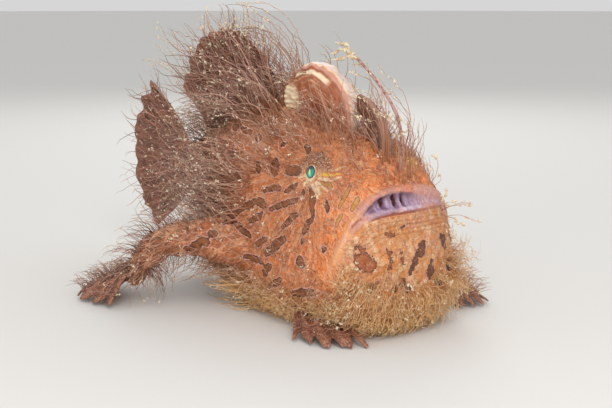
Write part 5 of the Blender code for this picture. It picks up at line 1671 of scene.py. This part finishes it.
def scatter(rng, region, number):
    """Roots spread evenly over a region's skin: cells of a grid of stations and angles are drawn
    by their area, fewer towards the top of a low region, and a root lies anywhere in its cell.
    Returns stations and angles."""
    step = shares(241)
    low, high = (math.sqrt(max(CHIN_X - x, 0)) for x in region.stations[::-1])
    stations = CHIN_X - (low + (high - low) * step) ** 2
    angles = region.angles[0] + (region.angles[1] - region.angles[0]) * step
    grid = body_point(stations[:, None], angles[None])
    along, across = grid[1:, :-1] - grid[:-1, :-1], grid[:-1, 1:] - grid[:-1, :-1]
    area = np.linalg.norm(np.cross(along, across), axis=-1)
    middle = (grid[1:, 1:] + grid[:-1, :-1]) / 2
    area = area * ((middle[..., 2] > region.heights[0]) & (middle[..., 2] < region.heights[1]))
    if region.heights[1] < 30:
        area = area * np.clip((region.heights[1] - middle[..., 2]) / (0.6 * region.heights[1]), 0, 1)
    edge = np.minimum(step[:-1], 1 - step[:-1])
    area = area * ease(-0.02, 0.10, edge)[:, None] * ease(-0.02, 0.12, edge)[None]
    cell = rng.choice(area.size, number, p=(area / area.sum()).ravel())
    i, j = np.divmod(cell, area.shape[1])
    s, t = rng.random(number), rng.random(number)
    root = low + (high - low) * (i + s) / 240
    return CHIN_X - root**2, region.angles[0] + (region.angles[1] - region.angles[0]) * (j + t) / 240


class Coat:
    """Filaments gathered from several regions, to be made into one mesh."""

    def __init__(self, sizes, seed):
        self.sizes, self.rng = sizes, np.random.default_rng(seed)
        self.points, self.faces, self.fields, self.spots, self.count = [], [], [], [], 0

    def grow(self, roots, normals, lies, region, spots, outside=True, pale=None, mark=None):
        """Each filament's middle is its root plus the sum of headings, which start between the
        coat's lie and the skin's normal, lose their lift and turn up, plus a helix that widens
        along it. Its surface is the middle plus radius(s) times a turning unit spoke."""
        rng, number = self.rng, len(roots)
        each = (number, 1, 1)
        s = shares(FILAMENT_RINGS)[None, :, None]
        lengths = rng.uniform(*region.length, number)[:, None, None]
        up = unit(np.array((0, 0, 1.0)) - normals * normals[:, 2:] + lies * 0.01)
        lift = region.lift * rng.uniform(0.6, 1.5, each)
        rise = region.rise * rng.uniform(0.3, 1.6, each)
        side = unit(np.cross(lies, normals))
        stray = rng.normal(0, 0.35, each) + rng.normal(0, 0.50, each) * s
        rise = rise + rng.normal(0, 0.25, each) * s
        heading = unit(
            lies[:, None] * (0.35 + 0.75 * s)
            + normals[:, None] * lift * (1 - s)
            + up[:, None] * rise
            + side[:, None] * stray
        )
        steps = np.cumsum(heading[:, :-1] * (lengths / (FILAMENT_RINGS - 1)), axis=1)
        line = roots[:, None] + np.concatenate([np.zeros((number, 1, 3)), steps], axis=1)
        coils = rng.uniform(0.5, 1.3, each) * (lengths / 7 + 0.35 * region.curl)
        phase = rng.uniform(0, 2 * math.pi, each)
        wide = region.curl * 0.42 * rng.uniform(0.3, 1.4, each) * s
        line = line + side[:, None] * np.cos(2 * math.pi * coils * s + phase) * wide
        line = line + up[:, None] * (np.sin(2 * math.pi * coils * s + phase) - np.sin(phase)) * wide * 0.7
        if outside:
            inside = body_share(line)
            _, _, widest, _ = outline_at(line[..., 0])
            push = np.clip(1.015 / np.maximum(inside, 0.2), 1, 1.6)
            push[:, 0] = 1
            line[..., 1] *= push
            line[..., 2] = widest + (line[..., 2] - widest) * push
        line[..., 2] = np.maximum(line[..., 2], FLOOR_GAP)
        over = np.maximum(line[..., 2] - COAT_TOP, 0)
        line[..., 2] += COAT_TOP_ROOM * np.tanh(over / COAT_TOP_ROOM) - over
        line[:, 0] -= normals * 0.35
        keep = self.clear(line)
        line, side, spots = line[keep], side[keep], spots[keep]
        pale = np.zeros(number) if pale is None else pale
        mark = np.zeros(number) if mark is None else mark
        girth = region.girth * self.sizes.filament_girth * rng.uniform(0.65, 1.35, len(line))
        self.add(line, side, girth, spots, pale[keep], mark[keep])
        crumbs.take(line, region, rng)

    @staticmethod
    def clear(line):
        """Filaments that stay off the eyes and off the pale lobes of the hump."""
        places = line.reshape(-1, 3)
        along, away = from_eye(places)
        off = np.abs(places * (0, 1, 0)) + places * (1, 0, 1) - (LOBE[0], 4.4, LOBE[1] + 0.6)
        lobe = np.linalg.norm(off / (2.6, 3.0, 3.4), axis=1) < 1
        hides = ((away < 2.3) & (along > 1.0) & (along < 14)) | lobe
        return ~hides.reshape(line.shape[:2]).any(1)

    def add(self, line, side, girth, spots, pale, mark):
        number, rings = line.shape[:2]
        forward = unit(np.gradient(line, axis=1))
        side = unit(side[:, None] - forward * np.sum(side[:, None] * forward, axis=-1, keepdims=True))
        ridge = np.cross(side, forward)
        s = shares(rings)
        taper = np.interp(s, [0, 0.15, 0.7, 1], [1.15, 1.0, 0.75, 0.32])
        b = turns(FILAMENT_SIDES)
        spoke = np.cos(b)[:, None] * side[:, :, None] + np.sin(b)[:, None] * ridge[:, :, None]
        points = line[:, :, None] + spoke * (girth[:, None] * taper)[..., None, None]
        one = rings * FILAMENT_SIDES
        faces = band_faces(rings, FILAMENT_SIDES)
        caps = [np.arange(FILAMENT_SIDES)[::-1], one - FILAMENT_SIDES + np.arange(FILAMENT_SIDES)]
        faces = np.concatenate([faces, caps])
        faces = (np.arange(number) * one)[:, None, None] + faces[None] + self.count
        tone = self.rng.random(number)
        blank = np.ones((number, rings, FILAMENT_SIDES))
        self.points.append(points.reshape(-1, 3))
        self.faces.append(faces.reshape(-1, 3))
        fields = (s[None, :, None], *(each[:, None, None] for each in (tone, mark, pale)))
        self.fields.append(np.stack([(blank * each).ravel() for each in fields]))
        way_round = np.arange(FILAMENT_SIDES) / FILAMENT_SIDES
        patch = np.stack(np.broadcast_arrays(s[:, None], way_round[None]), -1) * BAKE_PATCH
        self.spots.append((spots[:, None, None] * (1 - BAKE_PATCH) + patch[None]).reshape(-1, 2))
        self.count += number * one

    def mesh(self, name):
        mesh = mesh_of(name, np.concatenate(self.points), np.concatenate(self.faces))
        fields = np.concatenate(self.fields, axis=1)
        add_fields(mesh, dict(zip(("reach", "tone", "mark", "pale"), fields)))
        add_bake_map(mesh, np.concatenate(self.spots))
        return mesh


def bake_spots(stations, angles):
    """Where a root lies on the body's unwrap: its share of the length and of the way round."""
    return np.stack([0.7 * (stations - TAIL_END_X) / BODY_LENGTH, (angles % 360) / 360], -1)


def grow_on_body(coat, region, strokes, lips):
    rng = coat.rng
    stations, angles = scatter(rng, region, int(region.number * coat.sizes.filament_share))
    roots = body_point(stations, angles)
    lip_far = np.minimum(line_distance(roots, lips[0]), line_distance(roots, lips[1]))
    keep = (lip_far > 2.1) & (eye_distance(roots) > 3.4)
    stations, angles, roots = stations[keep], angles[keep], roots[keep]
    normals = body_normal(stations, angles)
    lies = unit(body_point(stations - 0.4, angles) - roots)
    mark = 1 - ease(-0.3, 0.3, stroke_distance(roots, strokes))
    pale = np.maximum(jaw_share(roots) * 0.8, belly_share(roots))
    coat.grow(roots, normals, lies, region, bake_spots(stations, angles), pale=pale, mark=mark)


def grow_on_tube(coat, form, region, corner):
    rng = coat.rng
    line, across, along, side = form
    forward, side, up = line_frame(line, side)
    number = int(region.number * coat.sizes.filament_share)
    low, high = region.stations
    k = ((low + (high - low) * rng.random(number)) * (len(line) - 1)).astype(int)
    angle = np.radians(rng.uniform(*region.angles, number))
    c, s = np.cos(angle)[:, None], np.sin(angle)[:, None]
    roots = line[k] + across[k, None] * c * side[k] + along[k, None] * s * up[k]
    normals = unit(c / across[k, None] * side[k] + s / along[k, None] * up[k])
    spots = np.array(corner) + np.stack([k / len(line), (angle / (2 * math.pi)) % 1], -1) * (0.12, 0.2)
    coat.grow(roots, normals, forward[k], region, spots, outside=False)


def grow_on_fin(coat, plan, region, corner):
    rng = coat.rng
    sheet, out, ray, v = fin_sheet(plan)
    number = int(region.number * coat.sizes.filament_share)
    i = rng.integers(0, sheet.shape[0], number)
    low, high = region.stations
    share = low + (high - low) * np.sqrt(rng.random(number))
    j = (share * (sheet.shape[1] - 2)).astype(int)
    roots, normals = sheet[i, j], out[i, j] * rng.choice((-1.0, 1.0), number)[:, None]
    if on_floor(plan):
        normals = normals * np.sign(normals[:, 2:])
    lies = unit(unit(sheet[i, -1] - sheet[i, 0]) + (-0.25, 0, 0) + rng.normal(0, 0.2, (number, 3)))
    spots = np.array(corner) + np.stack([i / sheet.shape[0], j / sheet.shape[1]], -1) * (0.12, 0.1)
    coat.grow(roots, normals, lies, region, spots, outside=False)


class Crumbs:
    """Pale specks that cling to the filaments, most of them near the tips."""

    def __init__(self):
        self.middles, self.ways, self.bulks = [], [], []

    def take(self, lines, region, rng):
        number = rng.poisson(region.specks * len(lines))
        pick = rng.integers(0, len(lines), number)
        ring = np.clip((FILAMENT_RINGS * rng.power(2.2, number)).astype(int), 2, FILAMENT_RINGS - 1)
        clump = 1 + rng.poisson(1.6, number)
        pick, ring, bulk = (np.repeat(each, clump) for each in (pick, ring, rng.uniform(0.6, 1.5, number)))
        self.middles.append(lines[pick, ring] + rng.normal(0, 0.17, (len(pick), 3)) * bulk[:, None])
        self.ways.append(lines[pick, ring] - lines[pick, ring - 1] + rng.normal(0, 0.3, (len(pick), 3)))
        self.bulks.append(bulk * rng.uniform(0.5, 1.1, len(pick)))

    def mesh(self, name, seed):
        """Each speck is an octahedron stretched along its filament, with uneven corners."""
        rng = np.random.default_rng(seed)
        middles, forward = np.concatenate(self.middles), unit(np.concatenate(self.ways))
        number = len(middles)
        side = unit(np.cross(forward, rng.normal(size=(number, 3))))
        ridge = np.cross(forward, side)
        girth = (0.10 + 0.16 * rng.power(0.7, number) * rng.random(number)) * np.concatenate(self.bulks)
        axes = np.stack([forward * rng.uniform(1.0, 2.2, (number, 1)), side, ridge], 1)
        corners = np.array([(1, 0, 0), (-1, 0, 0), (0, 1, 0), (0, -1, 0), (0, 0, 1), (0, 0, -1)], float)
        uneven = rng.uniform(0.7, 1.4, (number, 6, 1))
        points = middles[:, None] + np.einsum("ck,nkd->ncd", corners, axes) * girth[:, None, None] * uneven
        points[..., 2] = np.maximum(points[..., 2], 0.05)
        faces = np.array([(0, 2, 4), (2, 1, 4), (1, 3, 4), (3, 0, 4), (2, 0, 5), (1, 2, 5), (3, 1, 5), (0, 3, 5)])
        faces = (np.arange(number) * 6)[:, None, None] + faces[None]
        mesh = mesh_of(name, points.reshape(-1, 3), faces.reshape(-1, 3))
        mesh.shade_flat()
        share = np.stack([(middles[:, 0] + 75) / 125, (middles[:, 2] + 5) / 80], -1)
        patch = corners[None, :, :2] * BAKE_PATCH / 2
        spots = np.clip(share, 0, 1)[:, None] * (1 - BAKE_PATCH) + patch + BAKE_PATCH / 2
        add_bake_map(mesh, spots.reshape(-1, 2))
        return mesh


crumbs = Crumbs()


def make_streamers(coat):
    """Long filaments on lines that flow through given points, with crumbs along their tips."""
    rng = coat.rng
    s = shares(STREAMER_RINGS)[:, None]
    lines, girths = [], []
    for index, (points, girth) in enumerate(STREAMERS):
        for copy in range(STREAMER_TUFT):
            line = flowing_line(points, STREAMER_RINGS) + (copy > 0) * rng.normal(0, 0.5, 3) * (1 + 2.5 * s)
            line[:, 2] += (copy > 0) * rng.uniform(-4.0, 0.5) * s[:, 0] ** 1.5
            lines.append(line + 0.3 * s * wander(line, 4.0, 70 + index))
            girths.append(girth * (1 if copy == 0 else rng.uniform(0.6, 0.9)))
    lines, girths = np.array(lines), np.array(girths)
    lines[..., 2] = np.minimum(lines[..., 2], COAT_TOP + COAT_TOP_ROOM)
    sides = unit(np.cross(lines[:, -1] - lines[:, 0], (0.3, 1.0, 0.2)))
    none = np.zeros(len(lines))
    coat.add(lines, sides, girths, bake_spots(lines[:, 0, 0], np.full(len(lines), 90.0)), none, none)
    tips = np.repeat(lines, STREAMER_CRUMBS, axis=0)
    ring = (STREAMER_RINGS - 1 - 7 * rng.random(len(tips)) ** 1.5).astype(int)
    here, before = tips[np.arange(len(tips)), ring], tips[np.arange(len(tips)), ring - 1]
    crumbs.middles.append(here + rng.normal(0, 0.22, (len(tips), 3)))
    crumbs.ways.append(here - before)
    crumbs.bulks.append(rng.uniform(0.9, 1.9, len(tips)))


# Stage


def make_floor():
    """A flat disc: point(r, a) = (r cos a, r sin a, 0)."""
    r, a = np.array(FLOOR_RINGS)[:, None], turns(FLOOR_SIDES)
    grid = np.stack([r * np.cos(a), r * np.sin(a), 0 * r * a], -1)
    points = np.concatenate([grid.reshape(-1, 3), [(0, 0, 0)]])
    j = np.arange(FLOOR_SIDES)
    centre = np.stack([np.full(FLOOR_SIDES, len(points) - 1), j, (j + 1) % FLOOR_SIDES], -1)
    faces = np.concatenate([band_faces(len(r), FLOOR_SIDES)[:, ::-1], centre])
    return mesh_of("floor", points, faces)


def add_lamp(name, place, size, watts, colour):
    lamp = bpy.data.lights.new(name, "AREA")
    lamp.shape, lamp.size, lamp.energy, lamp.color = "DISK", size * MM, watts, colour
    obj, place = placed(name, lamp), np.array(place)
    obj.location = place * MM
    obj.rotation_euler = Vector(VIEW_TARGET - place).to_track_quat("-Z", "Y").to_euler()


# Operators


def settings_of(context):
    scene = context.scene
    return scene.frogfish_sizes, scene.frogfish_colours, scene.frogfish_studio


class FROGFISH_OT_skin(bpy.types.Operator):
    """Makes the skin of body, arms and lips as one surface"""

    bl_idname = "frogfish.skin"
    bl_label = "Skin"

    def execute(self, context):
        sizes, hues, _ = settings_of(context)
        nodes = ("head", "lower_jaw", "trunk", "tail", "arm_right", "arm_left")
        add_piece("skin", make_skin(sizes), skin_finish(hues), nodes)
        return {"FINISHED"}


class FROGFISH_OT_eyes(bpy.types.Operator):
    """Makes both eyes, with a painted reflection and highlight in each pupil"""

    bl_idname = "frogfish.eyes"
    bl_label = "Eyes"

    def execute(self, context):
        hues = context.scene.frogfish_colours
        add_piece("eyes", make_eyes(), eye_finish(hues), ("eye_left", "eye_right"))
        return {"FINISHED"}


class FROGFISH_OT_spines(bpy.types.Operator):
    """Makes the two free spines on the head"""

    bl_idname = "frogfish.spines"
    bl_label = "Head spines"

    def execute(self, context):
        hues = context.scene.frogfish_colours
        kinds = (("third_spine", THIRD_SPINE, spine_finish), ("second_spine", SECOND_SPINE, membrane_finish))
        for name, plan, finish in kinds:
            add_piece(name + "_skin", make_spine(name, spine_form(plan, 150)), finish(hues), (name,))
        return {"FINISHED"}


class FROGFISH_OT_rod(bpy.types.Operator):
    """Makes the fishing rod with its lure of worms"""

    bl_idname = "frogfish.rod"
    bl_label = "Fishing rod"

    def execute(self, context):
        hues = context.scene.frogfish_colours
        add_piece("rod_and_lure", make_rod(), lure_finish(hues), ("fishing_rod",))
        return {"FINISHED"}


class FROGFISH_OT_fins(bpy.types.Operator):
    """Makes the fins, hands and feet as sheets over raised rays"""

    bl_idname = "frogfish.fins"
    bl_label = "Fins"

    def execute(self, context):
        hues = context.scene.frogfish_colours
        material, rng = fin_finish(hues), np.random.default_rng(SEED + 1)
        for name, plan in FINS.items():
            add_piece(name + "_sheet", make_fin(name, plan, rng), material, (name,))
        return {"FINISHED"}


class FROGFISH_OT_body_coat(bpy.types.Operator):
    """Grows the filaments of head, trunk, chin and belly"""

    bl_idname = "frogfish.body_coat"
    bl_label = "Coat of the body"

    def execute(self, context):
        sizes, hues, _ = settings_of(context)
        material = coat_finish(hues)
        strokes, (_, *lips) = body_strokes(), lip_shapes(sizes)
        for index, (name, regions) in enumerate(COAT.items()):
            coat = Coat(sizes, SEED + 20 + index)
            for region in regions:
                grow_on_body(coat, region, strokes, lips)
            if name == "coat_crown":
                make_streamers(coat)
            add_piece(name, coat.mesh(name), material)
        return {"FINISHED"}


class FROGFISH_OT_limb_coat(bpy.types.Operator):
    """Grows the filaments of arms, spines and fins, and the specks on all filaments"""

    bl_idname = "frogfish.limb_coat"
    bl_label = "Coat of limbs, spines and fins"

    def execute(self, context):
        sizes, hues, _ = settings_of(context)
        material = bpy.data.materials["coat"]
        coat = Coat(sizes, SEED + 40)
        for index, (name, plan) in enumerate((("arm_right", RIGHT_ARM), ("arm_left", LEFT_ARM))):
            grow_on_tube(coat, limb_form(plan), LIMB_COAT[name], (0.72, 0.02 + 0.25 * index))
        for index, name in enumerate(("hand_right", "hand_left", "foot_right", "foot_left")):
            grow_on_fin(coat, FINS[name], FIN_COAT[name], (0.86, 0.02 + 0.12 * index))
        add_piece("coat_limbs", coat.mesh("coat_limbs"), material)
        coat = Coat(sizes, SEED + 41)
        for index, (name, plan) in enumerate((("third_spine", THIRD_SPINE), ("second_spine", SECOND_SPINE))):
            grow_on_tube(coat, spine_form(plan), SPINE_COAT[name], (0.72, 0.52 + 0.22 * index))
        add_piece("coat_spines", coat.mesh("coat_spines"), material)
        coat = Coat(sizes, SEED + 42)
        for index, name in enumerate(("dorsal_fin", "anal_fin", "tail_fin")):
            grow_on_fin(coat, FINS[name], FIN_COAT[name], (0.86, 0.52 + 0.12 * index))
        add_piece("coat_fins", coat.mesh("coat_fins"), material)
        add_piece("coat_specks", crumbs.mesh("coat_specks", SEED + 43), speck_finish(hues))
        return {"FINISHED"}


class FROGFISH_OT_stage(bpy.types.Operator):
    """Adds the plain floor, the soft lamps and the camera"""

    bl_idname = "frogfish.stage"
    bl_label = "Stage"

    def execute(self, context):
        studio = context.scene.frogfish_studio
        floor = placed("floor", make_floor())
        finish = Finish("floor", roughness=0.8)
        finish.shader.inputs["Base Color"].default_value = (*studio.floor, 1.0)
        floor.data.materials.append(finish.material)
        world = bpy.data.worlds.new("studio")
        world.use_nodes = True
        sky = world.node_tree.nodes["Background"].inputs
        sky["Color"].default_value, sky["Strength"].default_value = (*[ROOM_GREY] * 3, 1), ROOM_GREY
        context.scene.world = world
        power = studio.light
        add_lamp("key", (330, -200, 330), 260, 0.95 * power, (1.0, 0.97, 0.93))
        add_lamp("front", (260, -330, 80), 260, 0.5 * power, (1.0, 0.97, 0.94))
        add_lamp("back", (-320, 280, 340), 300, 0.6 * power, (1.0, 0.98, 0.95))
        lens = bpy.data.cameras.new("camera")
        lens.lens, lens.sensor_width, lens.clip_start, lens.clip_end = LENS, SENSOR_WIDTH, 0.01, 20
        camera = placed("camera", lens)
        a, e = studio.azimuth, studio.elevation
        back = np.array((math.sin(a) * math.cos(e), -math.cos(a) * math.cos(e), math.sin(e)))
        camera.location = VIEW_TARGET * MM + back * studio.distance
        camera.rotation_euler = (math.pi / 2 - e, 0, a)
        context.scene.camera = camera
        context.scene.view_settings.view_transform = "Standard"
        return {"FINISHED"}


OPERATORS = (
    FROGFISH_OT_skin,
    FROGFISH_OT_eyes,
    FROGFISH_OT_spines,
    FROGFISH_OT_rod,
    FROGFISH_OT_fins,
    FROGFISH_OT_body_coat,
    FROGFISH_OT_limb_coat,
    FROGFISH_OT_stage,
)


class FROGFISH_PT_panel(bpy.types.Panel):
    bl_label = "Frogfish"
    bl_idname = "FROGFISH_PT_panel"
    bl_space_type = "VIEW_3D"
    bl_region_type = "UI"
    bl_category = "Frogfish"

    def draw(self, context):
        for group in settings_of(context):
            box = self.layout.box()
            for key in group.bl_rna.properties.keys():
                if key not in ("rna_type", "name"):
                    box.prop(group, key)
        for operator in OPERATORS:
            self.layout.operator(operator.bl_idname)


GROUPS = {
    "frogfish_sizes": FrogfishSizes,
    "frogfish_colours": FrogfishColours,
    "frogfish_studio": FrogfishStudio,
}


def register():
    for cls in (*GROUPS.values(), *OPERATORS, FROGFISH_PT_panel):
        bpy.utils.register_class(cls)
    for name, group in GROUPS.items():
        setattr(bpy.types.Scene, name, bpy.props.PointerProperty(type=group))


def unregister():
    for name in GROUPS:
        delattr(bpy.types.Scene, name)
    for cls in (FROGFISH_PT_panel, *reversed(OPERATORS), *reversed(GROUPS.values())):
        bpy.utils.unregister_class(cls)


def main():
    register()
    for operator in OPERATORS:
        name = operator.bl_idname.split(".")[1]
        getattr(bpy.ops.frogfish, name)()


if __name__ == "__main__":
    main()
